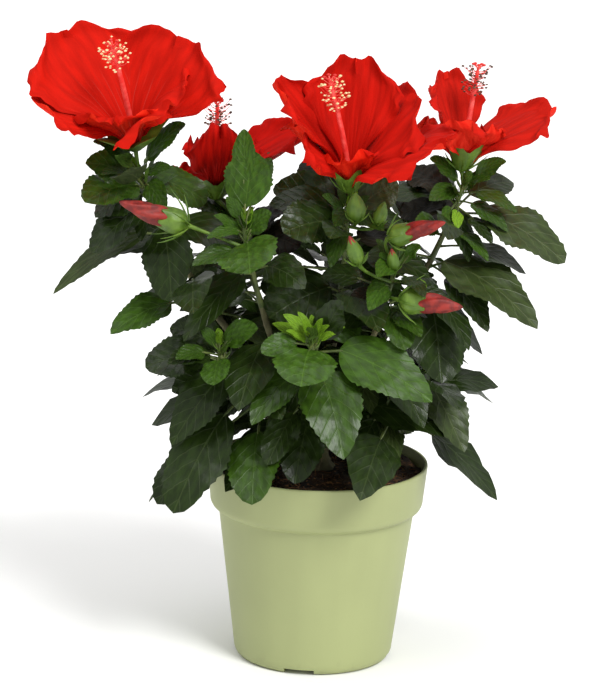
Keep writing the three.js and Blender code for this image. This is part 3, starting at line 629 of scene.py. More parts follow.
# A lumpy disc of peat with a skirt down the pot's wall, crumbs and loose fibres.
def makeSoil():
    heap = newHeap()
    edge, count = soil["edge"], soil["rings"]
    rings = [(edge * ring / count, None) for ring in range(1, count + 1)]
    rings += [(edge - 0.4, 100.0), (edge - 5.6, 86.0), (bodyFoot - 5, 8.0), (bodyFoot - 7, 5.0)]
    points = []
    for r, z in rings:
        for k in range(soil["sides"]):
            angle = k / soil["sides"] * 2 * math.pi
            x, y = math.cos(angle) * r, math.sin(angle) * r
            points.append((x, y, soilHeight(x, y) if z is None else z))
    points += [(0, 0, soilHeight(0, 0)), (0, 0, 5.0)]
    pile(heap, np.array(points, float), ringFaces(len(rings), soil["sides"], reverse=True), 0)
    deselectAll()
    bpy.ops.mesh.primitive_ico_sphere_add(subdivisions=1, radius=1, location=(0, 0, 0))
    crumb, crumbFaces = takeMaster(bpy.context.object)
    roll = seeded(soil["seed"])
    for _ in range(soil["crumbs"]):
        angle, r = roll() * 2 * math.pi, soil["crumbReach"] * math.sqrt(roll())
        size = mix(*soil["crumbSize"], roll() ** 2)
        rough = np.array([[roll(), roll(), roll()] for _ in crumb]) * 0.5 + 0.6
        shape = crumb * rough * size * np.array([1.0, mix(0.6, 1.1, roll()), 0.7])
        pile(heap, shape + soilSpot(math.cos(angle) * r, math.sin(angle) * r, size * 0.2), crumbFaces, 0)
    for _ in range(soil["fibres"]):
        angle, r = roll() * 2 * math.pi, soil["fibreReach"][0] * math.sqrt(roll())
        x, y = math.cos(angle) * r, math.sin(angle) * r
        turn, long = roll() * 2 * math.pi, mix(*soil["fibreLong"], roll())
        ex, ey = x + math.cos(turn) * long, y + math.sin(turn) * long
        if math.hypot(ex, ey) > soil["fibreReach"][1]:
            continue
        a, c = soilSpot(x, y, 0.1), soilSpot(ex, ey, 0.2)
        line = (a, (a + c) / 2 + (0, 0, 1.5 * roll() + 0.4), c)
        tube(heap, line, (0, 0.35, 0.7, 1), (0.2, 0.3, 0.25, 0.12), 4, 1)
    heapPiece("peat", heap, [grown["peat"], grown["peatFibre"]], ["soil"])


makePot()
makeSoil()
print("pot and soil made")

trunk = {"flareRadius": 11, "radius": 7, "topRadius": 4.4, "height": 44, "lean": (3, -4),
         "rings": 56, "sides": 36, "flareFade": 14, "roots": 5}
bough = {"radius": 2.7, "outward": 0.66, "upward": 0.4, "rings": 34, "sides": 16}
stem = {"radius": 2.1, "tipRadius": 1.2, "rings": 30, "woody": 14, "sides": 10}
leafSize = {"thick": 0.7, "arch": 0.16, "fold": 0.16, "lift": 0.14, "reach": 1.34, "mostBlade": 0.86,
            "outward": 0.8, "front": 0.4, "wave": 0.13, "quilt": 0.04, "droop": 0.1, "sway": 0.16}
goldenTurn = 137.5
tries, nearest = 9, 0.35  # of a leaf's tip, and how near to it the part's own leaf has to end
markedSpread, ruledSpread, markedSeed = 3, 10, 500
rimClear = 12  # how far over the rim the tips of the ruled leaves stay

# Each shoot's fork above the soil, its tip, the share that is bough, its ruled leaves and their
# lengths low and high, then the leaves that stand out: (place on the shoot, tip, long, wide,
# front, look). front turns a leaf's upper face towards -Y.
shoots = [
    {"name": "left", "fork": 26, "tip": (-106, -18, 289), "bare": 0.42, "leaves": 8,
     "long": (60, 34), "marked": [
         (0.95, (-136, -42, 278), 36, 30, 1.0, "mid"),
         (0.90, (-132, -34, 247), 40, 28, 0.8, "old"),
         (0.80, (-155, -20, 219), 60, 16, 1.1, "grey"),
         (0.97, (-68, -4, 272), 38, 25, 0.7, "mid"),
         (0.84, (-86, -44, 222), 50, 32, 0.8, "old"),
         (0.56, (-121, -32, 199), 38, 25, 0.9, "bright")]},
    {"name": "back_left", "fork": 31, "tip": (-52, 40, 252), "bare": 0.40, "leaves": 13,
     "long": (58, 34), "marked": [
         (0.97, (-37, 22, 274), 42, 34, 0.9, "bronze"),
         (0.90, (-14, 24, 240), 46, 36, 0.8, "bronze")]},
    {"name": "middle", "fork": 40, "tip": (14, -26, 276), "bare": 0.36, "leaves": 12,
     "long": (60, 32), "marked": [
         (0.90, (-23, -54, 266), 40, 30, 0.9, "old"),
         (0.88, (-12, 12, 296), 48, 30, 0.9, "bronze"),
         (0.93, (42, -16, 288), 30, 24, 1.0, "grey"),
         (0.62, (-34, -34, 211), 46, 40, 0.6, "old")]},
    {"name": "right", "fork": 36, "tip": (80, 8, 282), "bare": 0.50, "leaves": 9,
     "long": (58, 32), "marked": [
         (0.90, (140, -6, 242), 54, 34, 0.9, "grey"),
         (0.68, (124, -30, 208), 66, 35, 1.0, "grey"),
         (0.98, (111, -6, 271), 26, 14, 0.8, "mid"),
         (0.66, (70, -36, 176), 46, 40, 0.9, "old"),
         (0.86, (52, -30, 262), 26, 16, 0.8, "mid")]},
    {"name": "front", "fork": 12, "tip": (-5, -62, 205), "bare": 0.30, "leaves": 8,
     "long": (56, 24), "marked": [
         (0.98, (-11, -101, 189), 30, 37, 0.3, "bright"),
         (0.86, (14, -99, 147), 50, 36, 0.6, "mid"),
         (0.92, (63, -82, 177), 58, 33, 0.9, "bright"),
         (0.95, (22, -42, 215), 26, 28, 1.0, "bright"),
         (0.97, (-31, -78, 205), 22, 15, 0.8, "bright"),
         (0.80, (-38, -90, 163), 42, 22, 0.4, "mid"),
         (0.50, (-13, -68, 123), 40, 27, 0.9, "old"),
         (0.64, (-29, -72, 135), 32, 20, 0.7, "old")]},
    {"name": "left_front", "fork": 16, "tip": (-46, -42, 266), "bare": 0.44, "leaves": 5,
     "long": (52, 28), "marked": [
         (0.99, (-43, -32, 309), 38, 29, 1.3, "bright"),
         (0.93, (-41, -76, 247), 34, 37, 0.8, "bright"),
         (0.82, (-78, -60, 203), 48, 22, 0.9, "old")]},
    {"name": "right_front", "fork": 20, "tip": (42, -46, 250), "bare": 0.46, "leaves": 6,
     "long": (46, 20), "marked": [
         (0.80, (47, -72, 204), 30, 20, 0.9, "mid")]},
    {"name": "low_left", "fork": 8, "tip": (-58, -52, 196), "bare": 0.30, "leaves": 5,
     "long": (60, 22), "marked": [
         (0.98, (-60, -84, 184), 22, 18, 0.8, "bright"),
         (0.99, (-36, -62, 212), 26, 16, 1.0, "bright"),
         (0.96, (-82, -70, 195), 20, 12, 0.9, "mid"),
         (0.90, (-100, -48, 184), 36, 26, 0.9, "old"),
         (0.82, (-84, -58, 141), 52, 30, 0.8, "old"),
         (0.60, (-98, -26, 97), 60, 20, -0.3, "old"),
         (0.66, (-90, -76, 113), 58, 38, 0.8, "old"),
         (0.56, (-92, -52, 104), 44, 28, 0.8, "old"),
         (0.50, (-37, -82, 114), 44, 31, 0.6, "mid")]},
    {"name": "low_right", "fork": 10, "tip": (62, -12, 176), "bare": 0.36, "leaves": 9,
     "long": (60, 40), "marked": [
         (0.92, (84, -46, 138), 50, 30, 0.9, "grey"),
         (0.55, (44, -60, 132), 50, 17, 0.9, "grey"),
         (0.50, (20, -42, 124), 36, 20, 0.5, "old"),
         (0.74, (45, -32, 144), 40, 30, -0.8, "grey")]},
    {"name": "back", "fork": 23, "tip": (8, 62, 236), "bare": 0.42, "leaves": 15,
     "long": (62, 36), "marked": []},
    {"name": "back_right", "fork": 28, "tip": (48, 44, 256), "bare": 0.44, "leaves": 12,
     "long": (58, 36), "marked": [
         (0.95, (43, 34, 288), 42, 30, 0.9, "bronze"),
         (0.97, (62, 46, 293), 42, 32, 0.9, "bronze"),
         (0.93, (80, 38, 262), 38, 32, 0.9, "bronze")]},
    {"name": "low_back_left", "fork": 14, "tip": (-60, 50, 178), "bare": 0.32, "leaves": 14,
     "long": (64, 38), "marked": []},
    {"name": "low_back_right", "fork": 18, "tip": (56, 54, 174), "bare": 0.32, "leaves": 13,
     "long": (64, 38), "marked": []},
]

trunkFoot = np.array([0, 0, soil["level"] + 0.3])
trunkTop = np.array([*trunk["lean"], trunkFoot[2] + trunk["height"]])
trunkLine = (trunkFoot, np.array([0, 0, trunkFoot[2] + trunk["height"] * 0.5]), trunkTop)


def shootLine(shoot):
    foot = bendPoint(trunkLine, shoot["fork"] / trunk["height"])
    tip = np.array(shoot["tip"], float)
    share = np.array([bough["outward"], bough["outward"], bough["upward"]])
    return foot, foot + (tip - foot) * share, tip


for shoot in shoots:
    shoot["line"] = shootLine(shoot)
lines = {shoot["name"]: shoot["line"] for shoot in shoots}


# Shallow upright furrows, knots and leaf scars, as a change of radius.
def barkRelief(depth, rows):
    def relief(shares, angles):
        change = np.zeros((len(shares), len(angles)))
        for i, share in enumerate(shares):
            for k, angle in enumerate(angles):
                spot = Vector((math.cos(angle) * 1.6, math.sin(angle) * 1.6, share * rows * 0.35))
                change[i, k] = noise.noise(spot * 1.9) * depth + noise.noise(spot * 6) * depth * 0.4
            knot = (share * rows) % 1.0
            change[i] += depth * 1.1 * math.exp(-((knot - 0.5) / 0.1) ** 2)
        return change
    return relief


# Trunk with its root flare, and the thirteen boughs, with the bark's relief.
def makeWood():
    heap = newHeap()
    shares = np.linspace(0, 1, trunk["rings"])
    radii = mix(trunk["radius"], trunk["topRadius"], shares)
    radii = radii + (trunk["flareRadius"] - trunk["radius"]) * np.exp(-shares * trunk["flareFade"])
    ribs = barkRelief(0.5, 5)

    def flared(shares, angles):
        roots = np.exp(-shares * 9)[:, None] * np.cos(trunk["roots"] * angles + 0.6)[None] * 0.9
        return ribs(shares, angles) + roots - 0.4
    tube(heap, trunkLine, shares, radii, trunk["sides"], 0, flared)
    for order, shoot in enumerate(shoots):
        shares = np.linspace(0.02, shoot["bare"], bough["rings"])
        radii = mix(bough["radius"], stem["radius"], shares / shoot["bare"]) * 0.96
        tube(heap, shoot["line"], shares, radii, bough["sides"], 0, barkRelief(0.22, 7 + order % 3))
    replaced = ["trunk"] + [f"bough_{shoot['name']}" for shoot in shoots]
    heapPiece("bark_wood", heap, [grown["bark"]], replaced, smoothTo=70)


makeWood()
print("trunk and boughs made")

leafEdge = {"depth": 0.045, "from": 0.3}
leafForms = {"plain": (0.74, 0.68), "blunt": (0.98, 0.5)}  # smaller: wider towards the base, fuller


# Half widths of a leaf's rows: every other row past the first few is a tooth's point.
def toothedWidth(rows, form="plain"):
    def width(row, y):
        if row == 0:
            return 0.045
        if row == rows:
            return 0.012
        lean, fill = leafForms[form]
        base = max(math.sin(math.pi * y ** lean) ** fill, 0.05)
        if y < leafEdge["from"]:
            return base
        return base * (1 + leafEdge["depth"] * (0.6 if row % 2 else -1.0))
    return width


plainLeaf = sheetMaster(2, 12, toothedWidth(12))
fineLeaf = sheetMaster(6, 26, toothedWidth(26))
bluntLeaf = sheetMaster(6, 26, toothedWidth(26, "blunt"))
petalSheet = sheetMaster(26, 34)
print("leaf and petal masters made", len(plainLeaf[1]), len(fineLeaf[1]), len(petalSheet[1]))


def leafLie(foot, tip, long, front):
    reach = tip - foot
    span = np.linalg.norm(reach)
    length = min(long, span * leafSize["mostBlade"])
    base = tip - reach / span * length
    base = base + (0, 0, leafSize["lift"] * length)
    middle = (base + tip) / 2
    face = np.array([middle[0], middle[1], 0.0])
    face = face / max(np.linalg.norm(face), 1e-6) * leafSize["outward"] + (0, 0, 1)
    face[1] -= front
    by = middle + (0, 0, leafSize["arch"] * length)
    return {"base": base, "tip": tip, "length": length, "face": face, "midrib": (base, by, tip)}


# Lays a master along a leaf's midrib, with a wave in its edges and a light curl.
def layLeaf(heap, master, lie, wide, look, seed):
    points, faces = master
    roll = seeded(seed)
    x, y, z = points[:, 0], points[:, 1], points[:, 2]
    half = wide / 2
    centre, along = bendPoint(lie["midrib"], y), bendAlong(lie["midrib"], y)
    normal = unit(lie["face"] - along * (along @ lie["face"])[:, None])
    across = np.cross(normal, along)
    out = np.abs(x)
    wave = np.sin(y * (9 + 5 * roll()) + 6.3 * roll() + np.sign(x) * roll()) * out ** 2
    raised = out * half * leafSize["fold"] + wave * half * leafSize["wave"]
    raised = raised - half * leafSize["droop"] * out ** 3
    quilt = np.cos(2 * math.pi * leafVeins["pairs"] * (y - leafVeins["lean"] * out))
    raised = raised + quilt * half * leafSize["quilt"] * np.sin(math.pi * np.clip(out, 0, 1))
    raised = raised + half * 0.05 * (roll() - 0.5) * x + z * leafSize["thick"] * (0.4 + 0.6 * (1 - out))
    sway = (roll() - 0.5) * leafSize["sway"] * lie["length"] * (y ** 2 - y)
    spots = centre + across * (x * half + sway)[:, None] + normal * raised[:, None]
    top = lookNames.index(look)
    young = look in ("bright", "lime", "mid")
    under = lookNames.index("underYoung" if young else "underOld")
    looks = [under if any(points[corner, 2] < -0.5 for corner in face) else top for face in faces]
    pile(heap, spots, faces, looks, points[:, :2])


partSpots = {}
for shoot in shoots:
    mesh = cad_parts[f"foliage_{shoot['name']}"].data
    tree = kdtree.KDTree(len(mesh.vertices))
    for vertex in mesh.vertices:
        tree.insert(vertex.co / mm, vertex.index)
    tree.balance()
    partSpots[shoot["name"]] = tree


# The try at which the part's own leaf was clear, or None where it grew no leaf.
def keptTip(shoot, order, index, tip, spread):
    roll = seeded(order * 1000 + index * 7 + 3)
    for attempt in range(tries):
        shift = np.array([roll() - 0.5, roll() - 0.5, roll() - 0.5])
        tried = np.array(tip, float) + shift * attempt * spread
        if partSpots[shoot["name"]].find(tried)[2] < nearest:
            return tried
    return None


growth = {
    "extra": 11,  # leaves tried on each shoot besides the part's own
    "dense": 22,  # and on those that fill the crown's middle and back
    "densely": ("back", "back_left", "back_right", "middle", "low_back_left", "low_back_right"),
    "extraLong": (0.5, 0.85),  # shares of the shoot's own leaf length
    "reach": 1.3,  # of stalk and blade together, for each unit of the blade
    "inside": 12.0,  # how far inside the part's box their tips end
    "rim": (76, 124),  # no tip is nearer to the axis and lower than this, so that none is in the pot
    "sides": (-104, 80),  # how far they reach to each side, below the flowers
    "belowFlowers": 250,
    "inFront": 20.0,  # none is before a leaf that stands out and this near to it as seen from -Y
    "spacing": 9.0,  # nearest that their middles come to another leaf's
    "broad": 0.62,  # a leaf that stands out and is wider than this share of its length is blunt,
    "pointed": (("left", 5), ("left_front", 0), ("front", 1)),  # apart from these
    "tuft": 6,  # small young leaves at each shoot's tip, three times as many on the front one
    "tuftLong": ((20, 9), (23, 12)),  # on most shoots, on the front one
    "tuftSlim": (0.44, 0.32),
    "tuftReach": 1.25,
    "oldShare": 0.62,
}
moreLeaves = {  # round the flowers and buds and low at the left
    "back_left": [
        (0.97, (-30, 32, 294), 38, 28, 0.9, "old"), (0.90, (-20, 30, 262), 42, 32, 0.9, "bronze"),
        (0.97, (-77, 32, 262), 36, 24, 0.9, "old"), (0.80, (-70, 26, 236), 40, 26, 0.9, "old")],
    "right": [
        (0.95, (46, 22, 287), 42, 32, 1.0, "bronze"), (0.90, (44, 20, 262), 38, 28, 1.0, "bronze"),
        (0.99, (60, 2, 300), 26, 13, 1.0, "mid"), (0.98, (104, -2, 300), 22, 11, 1.0, "mid"),
        (0.92, (84, -10, 242), 30, 18, 0.9, "old"), (0.95, (106, -8, 260), 26, 15, 0.9, "mid"),
        (0.70, (96, -24, 204), 38, 24, 0.9, "old"),
        (0.97, (60, -12, 278), 24, 12, 0.8, "mid"), (0.95, (68, -18, 262), 18, 9, 0.9, "bright"),
        (0.99, (95, -4, 290), 18, 12, 1.1, "mid"), (0.93, (97, -14, 254), 20, 13, 0.9, "old"),
        (0.86, (95, -16, 244), 24, 12, 0.8, "bright"), (0.96, (76, -16, 262), 14, 8, 1.0, "lime")],
    "right_front": [
        (0.97, (30, -72, 246), 22, 12, 0.9, "bright"), (0.93, (54, -66, 262), 16, 8, 0.9, "bright"),
        (0.88, (26, -70, 226), 26, 14, 0.9, "bright"), (0.90, (58, -68, 238), 16, 9, 1.0, "lime"),
        (0.78, (56, -72, 212), 26, 15, 1.0, "mid"), (0.99, (46, -58, 272), 15, 7, 0.9, "lime")],
    "middle": [
        (0.97, (6, -44, 268), 20, 12, 0.9, "mid"), (0.95, (34, -42, 266), 22, 12, 0.9, "mid"),
        (0.90, (4, -52, 246), 26, 12, 0.9, "mid"), (0.93, (-30, -2, 280), 40, 28, 1.0, "old")],
    "left": [
        (0.96, (-137, -24, 297), 34, 24, 1.2, "mid"), (0.93, (-131, -26, 266), 40, 27, 0.9, "old"),
        (1.00, (-132, -36, 312), 30, 12, 0.9, "mid"), (1.00, (-80, -28, 322), 38, 15, 0.9, "mid"),
        (1.00, (-118, -44, 306), 22, 10, 1.0, "mid"),
        (0.97, (-90, -36, 274), 26, 14, 0.9, "mid"), (0.92, (-104, -40, 256), 26, 15, 0.9, "old"),
        (0.99, (-128, -30, 292), 20, 9, 0.8, "mid"), (0.99, (-88, -24, 296), 20, 9, 0.8, "mid")],
    "left_front": [
        (0.99, (-47, -28, 320), 34, 14, 1.3, "bright"), (0.99, (-31, -30, 304), 32, 15, 1.3, "bright"),
        (0.70, (-84, -40, 224), 42, 25, 0.9, "old"),
        (0.97, (-66, -56, 262), 24, 8, 0.9, "bright"), (0.90, (-74, -56, 246), 26, 13, 0.9, "mid"),
        (0.95, (-30, -48, 276), 24, 14, 1.0, "bright"), (0.99, (-56, -46, 284), 18, 8, 0.9, "bright")],
    "low_left": [
        (0.92, (-87, -34, 204), 38, 24, 0.9, "old"), (0.75, (-85, -40, 168), 42, 27, 0.9, "old")],
}
heaps = {shoot["name"]: newHeap() for shoot in shoots}
twigs = newHeap()
leafMiddles, standOut = [], []
frontOrder = [shoot["name"] for shoot in shoots].index("front")


def stalk(foot, lie, thick):
    outward = unit(lie["base"] - foot)
    mid = (foot + lie["base"]) / 2 + (0, 0, 0.6)
    into = lie["base"] + bendAlong(lie["midrib"], 0.0) * 2.0
    tube(twigs, (foot - outward, mid, into), (0, 0.08, 0.5, 0.9, 1),
         (0.8 * thick, 1.0 * thick, 0.75 * thick, 0.85 * thick, 0.5 * thick), 6, 0)


def growLeaf(shoot, at, tip, long, wide, front, look, seed, master):
    foot = bendPoint(shoot["line"], at)
    lie = leafLie(foot, np.array(tip, float), long, front)
    layLeaf(heaps[shoot["name"]], master, lie, wide, look, seed)
    stalk(foot, lie, mix(0.6, 1.0, min(long / 50, 1)))
    leafMiddles.append((lie["base"] + lie["tip"]) / 2)


# Old leaves low on a shoot, brighter ones near its tip, dealt out by number.
def lookFor(rise, number):
    if number > growth["oldShare"] + 0.3 * (1 - rise):
        return "bright" if rise > 0.6 else "mid"
    if number > 0.5:
        return "mid" if rise > 0.35 else "grey"
    return "bronze" if number < 0.16 else "old"


def growMarked():
    for order, shoot in enumerate(shoots):
        for index, (at, tip, long, wide, front, look) in enumerate(shoot["marked"]):
            kept = keptTip(shoot, order, markedSeed + index, tip, markedSpread)
            if kept is not None:
                pointed = (shoot["name"], index) in growth["pointed"]
                master = bluntLeaf if wide > growth["broad"] * long and not pointed else fineLeaf
                growLeaf(shoot, at, kept, long, wide, front, look, order * 77 + index, master)
                standOut.append(leafMiddles[-1])


# The part's own rule for the leaves that don't stand out.
def growRuled():
    for order, shoot in enumerate(shoots):
        for index in range(shoot["leaves"]):
            roll = seeded(order * 1000 + index * 7 + 1)
            rise = (index + 0.5) / shoot["leaves"]
            at = mix(shoot["bare"] + 0.06, 0.98, rise)
            turn = math.radians(order * 50 + index * goldenTurn + 30 * roll())
            long = mix(*shoot["long"], rise) * mix(0.85, 1.1, roll())
            dip = math.radians(mix(38, -12, rise) + 24 * (roll() - 0.5))
            tip = bendPoint(shoot["line"], at) + long * leafSize["reach"] * heading(turn, dip)
            tip[2] = max(tip[2], pot["height"] + rimClear)
            wide = long * mix(0.52, 0.66, roll())
            kept = keptTip(shoot, order, index, tip, ruledSpread)
            if kept is not None:
                look = lookFor(rise, seeded(order * 31 + index * 5 + 2)())
                growLeaf(shoot, at, kept, long, wide, leafSize["front"], look,
                         order * 91 + index + 9, plainLeaf)


# Whether a leaf is out of the pot, within the part's reach, and clear of the other leaves.
def hasRoom(tip, middle):
    low, high = np.array(cadBox) / mm
    rim, sides = growth["rim"], growth["sides"]
    inPot = math.hypot(tip[0], tip[1]) < rim[0] and tip[2] < rim[1]
    outside = (tip < low + growth["inside"]).any() or (tip > high - growth["inside"]).any()
    astray = tip[2] < growth["belowFlowers"] and not sides[0] < tip[0] < sides[1]
    hides = any(tip[1] < other[1] and math.hypot(middle[0] - other[0], middle[2] - other[2])
                < growth["inFront"] for other in standOut)
    tooNear = min(np.linalg.norm(middle - other) for other in leafMiddles) < growth["spacing"]
    return not (inPot or outside or astray or hides or tooNear)


# Smaller leaves between the part's own.
def growExtra():
    for index in range(growth["dense"]):
        for order, shoot in enumerate(shoots):
            count = growth["dense" if shoot["name"] in growth["densely"] else "extra"]
            if index >= count:
                continue
            roll = seeded(order * 611 + index * 17 + 5)
            rise = (index + 0.3 + 0.4 * roll()) / count
            at = mix(shoot["bare"] * 0.7, 0.97, rise)
            turn = math.radians(order * 83 + index * goldenTurn + 70 * roll())
            long = mix(*shoot["long"], rise) * mix(*growth["extraLong"], roll())
            dip = math.radians(mix(34, -16, rise) + 30 * (roll() - 0.5))
            foot = bendPoint(shoot["line"], at)
            tip = foot + long * growth["reach"] * heading(turn, dip)
            if hasRoom(tip, foot * 0.4 + tip * 0.6):
                wide = long * mix(0.5, 0.64, roll())
                look = lookFor(rise * 0.7, roll())
                growLeaf(shoot, at, tip, long, wide, 0.0, look, order * 53 + index + 400, plainLeaf)


def growMore():
    for order, shoot in enumerate(shoots):
        for index, (at, tip, long, wide, front, look) in enumerate(moreLeaves.get(shoot["name"], [])):
            growLeaf(shoot, at, tip, long, wide, front, look, order * 37 + index + 300, fineLeaf)


# Small upright leaves round each tip, with two thin stipules to a leaf.
def growTufts():
    for order, shoot in enumerate(shoots):
        young = order == frontOrder
        count = growth["tuft"] * (3 if young else 1)
        for index in range(count):
            roll = seeded(order * 401 + index * 13 + 8)
            turn = math.radians(index * goldenTurn + order * 40)
            dip = math.radians(mix(-35, -78, index / count) + 16 * (roll() - 0.5))
            long = mix(*growth["tuftLong"][young], index / count) * mix(0.85, 1.15, roll())
            at = mix(0.93, 1.0, index / count)
            foot = bendPoint(shoot["line"], at)
            wide = long * growth["tuftSlim"][young] * mix(0.85, 1.15, roll())
            tip = foot + long * growth["tuftReach"] * heading(turn, dip)
            look = "lime" if young or index > 3 else "bright"
            growLeaf(shoot, at, tip, long, wide, 0.2, look, order * 29 + index + 700, plainLeaf)
            for aim in (turn - 0.9, turn + 0.9):
                start = foot + (0, 0, 0.5)
                out = start + np.array([math.cos(aim) * 5, math.sin(aim) * 5, 6.5])
                bend = (start, (start + out) / 2 + (math.cos(aim) * 1.5, math.sin(aim) * 1.5, 0), out)
                tube(twigs, bend, (0, 0.5, 1), (0.45, 0.35, 0.08), 4, 1)


def growStems():
    woody, sides = stem["woody"], stem["sides"]
    for shoot in shoots:
        shares = np.linspace(shoot["bare"] - 0.01, 1, stem["rings"])
        rise = (shares - shoot["bare"]) / (1 - shoot["bare"])
        radii = mix(stem["radius"], stem["tipRadius"], np.clip(rise, 0, 1))
        tube(twigs, shoot["line"], shares[:woody], radii[:woody], sides, 2, barkRelief(0.2, 9))
        tube(twigs, shoot["line"], shares[woody - 1:], radii[woody - 1:], sides, 0, barkRelief(0.16, 9))


growMarked()
growRuled()
growMore()
growExtra()
growTufts()
growStems()
print("leaves grown", len(leafMiddles))

for shoot in shoots:
    heapPiece(f"leaves_{shoot['name']}", heaps[shoot["name"]], leafMaterials,
              [f"foliage_{shoot['name']}"], sheetCells, 62)
print("leaf pieces made")

buds = [  # shoot, place on it, foot, tip, thickness, share that is out and red
    ("left_front", 0.92, (-77, -46, 267), (-116, -56, 282), 15, 1.0),
    ("right_front", 0.97, (36, -52, 264), (68, -61, 276), 13, 1.0),
    ("right_front", 0.84, (43, -62, 231), (79, -73, 230), 15, 1.0),
    ("right_front", 0.90, (20, -60, 250), (14, -66, 268), 9, 0.2),
    ("right_front", 0.96, (40, -55, 246), (38, -60, 260), 7, 0.3),
    ("middle", 0.95, (18, -46, 272), (17, -51, 290), 11, 0.0),
    ("middle", 0.92, (30, -36, 268), (34, -40, 283), 8, 0.0),
]
budShape = {"sides": 30, "rings": 24, "folds": 5, "twist": 2.2, "lobes": 5, "bracts": 7,
            "redFrom": 0.2, "redThick": 0.82, "opened": 0.5}


# A ball's points as shares along its axis and angles round it, with its faces.
def roundMaster(sides, rings):
    deselectAll()
    bpy.ops.mesh.primitive_uv_sphere_add(segments=sides, ring_count=rings, radius=1, location=(0, 0, 0))
    points, faces = takeMaster(bpy.context.object)
    place = np.arccos(np.clip(points[:, 2], -1, 1)) / math.pi
    return 1 - place, np.arctan2(points[:, 1], points[:, 0]), faces


budBall = roundMaster(budShape["sides"], budShape["rings"])


def axesAlong(start, end):
    out = unit(np.array(end, float) - np.array(start, float))
    upper = np.array([0.0, 0.5, 1.0])
    upper = unit(upper - out * (upper @ out))
    return upper, np.cross(out, upper), out


def spokeAt(axes, turn):
    return axes[0] * math.cos(turn) + axes[1] * math.sin(turn)


# Lays the ball's points at distances along an axis and radii from it.
def layRound(heap, base, axes, along, radii, look):
    angle = budBall[1]
    across = axes[0] * (radii * np.cos(angle))[:, None] + axes[1] * (radii * np.sin(angle))[:, None]
    pile(heap, base + axes[2] * along[:, None] + across, budBall[2], look)


# Rolled petals in a calyx with five lobes that clasp them; in an unopened bud it holds them all.
def layBud(heap, base, tip, thick, red):
    axes = axesAlong(base, tip)
    long, radius = np.linalg.norm(tip - base), thick / 2
    share, angle = budBall[:2]
    if red > 0:
        start = budShape["redFrom"] * long
        shape = np.sin(np.pi * np.clip(share, 0, 1) ** 0.66) ** 0.55 * (1 - 0.3 * share)
        spun = budShape["folds"] * (angle + budShape["twist"] * share)
        fold = 1 + 0.15 * np.cos(spun) * np.sin(np.pi * share)
        layRound(heap, base, axes, share * (long - start) + start,
                 radius * budShape["redThick"] * shape * fold, 1)
    opened = red > budShape["opened"]
    lobes = 0.5 + 0.5 * np.cos(budShape["lobes"] * angle)
    end = mix(0.72 if opened else 0.94, 1.0, lobes)
    along = share * long * (0.46 if opened else 0.98)
    along = along * np.where(share > 0.5, mix(1.0, end, smooth(share, 0.5, 1.0)), 1.0)
    if opened:
        shape = np.sin(np.pi * 0.5 * np.clip(share / 0.4, 0, 1)) ** 0.7
        shape = shape * mix(1.0, 0.80, smooth(share, 0.45, 1.0))
        shape = np.where(share > 0.995, 0.05, shape)
    else:
        shape = np.sin(np.pi * share ** 0.75) ** 0.8
    ribs = 1 + 0.04 * np.cos(2 * budShape["lobes"] * angle)
    layRound(heap, base, axes, along, radius * shape * ribs, 0)
    layBracts(heap, base, axes, radius * 0.75, long * 0.42, int(thick * 7))


# Thin curling bracts under a calyx.
def layBracts(heap, base, axes, ring, long, seed):
    roll, out = seeded(seed), axes[2]
    for index in range(budShape["bracts"]):
        spoke = spokeAt(axes, (index + 0.3 * roll()) / budShape["bracts"] * 2 * math.pi)
        start = base + spoke * ring * 0.5 + out * 0.5
        mid = start + spoke * long * 0.45 + out * long * 0.25
        end = start + spoke * long * mix(0.5, 0.9, roll()) + out * long * mix(0.5, 0.9, roll())
        tube(heap, (start, mid, end), (0, 0.2, 0.5, 0.8, 1), (0.5, 0.6, 0.55, 0.35, 0.1), 5, 0)


def makeBuds():
    heap = newHeap()
    for shoot, at, base, tip, thick, red in buds:
        base, tip = np.array(base, float), np.array(tip, float)
        ahead = unit(tip - base)
        tube(heap, (bendPoint(lines[shoot], at), base - ahead * 6, base + ahead),
             (0, 0.3, 0.6, 0.85, 1), (1.1, 0.9, 0.95, 1.3, 2.0), 8, 0)
        layBud(heap, base, tip, thick, red)
    heapPiece("flower_buds", heap, [grown["calyxGreen"], grown["budRed"]], [], smoothTo=50)


makeBuds()
print("buds made")

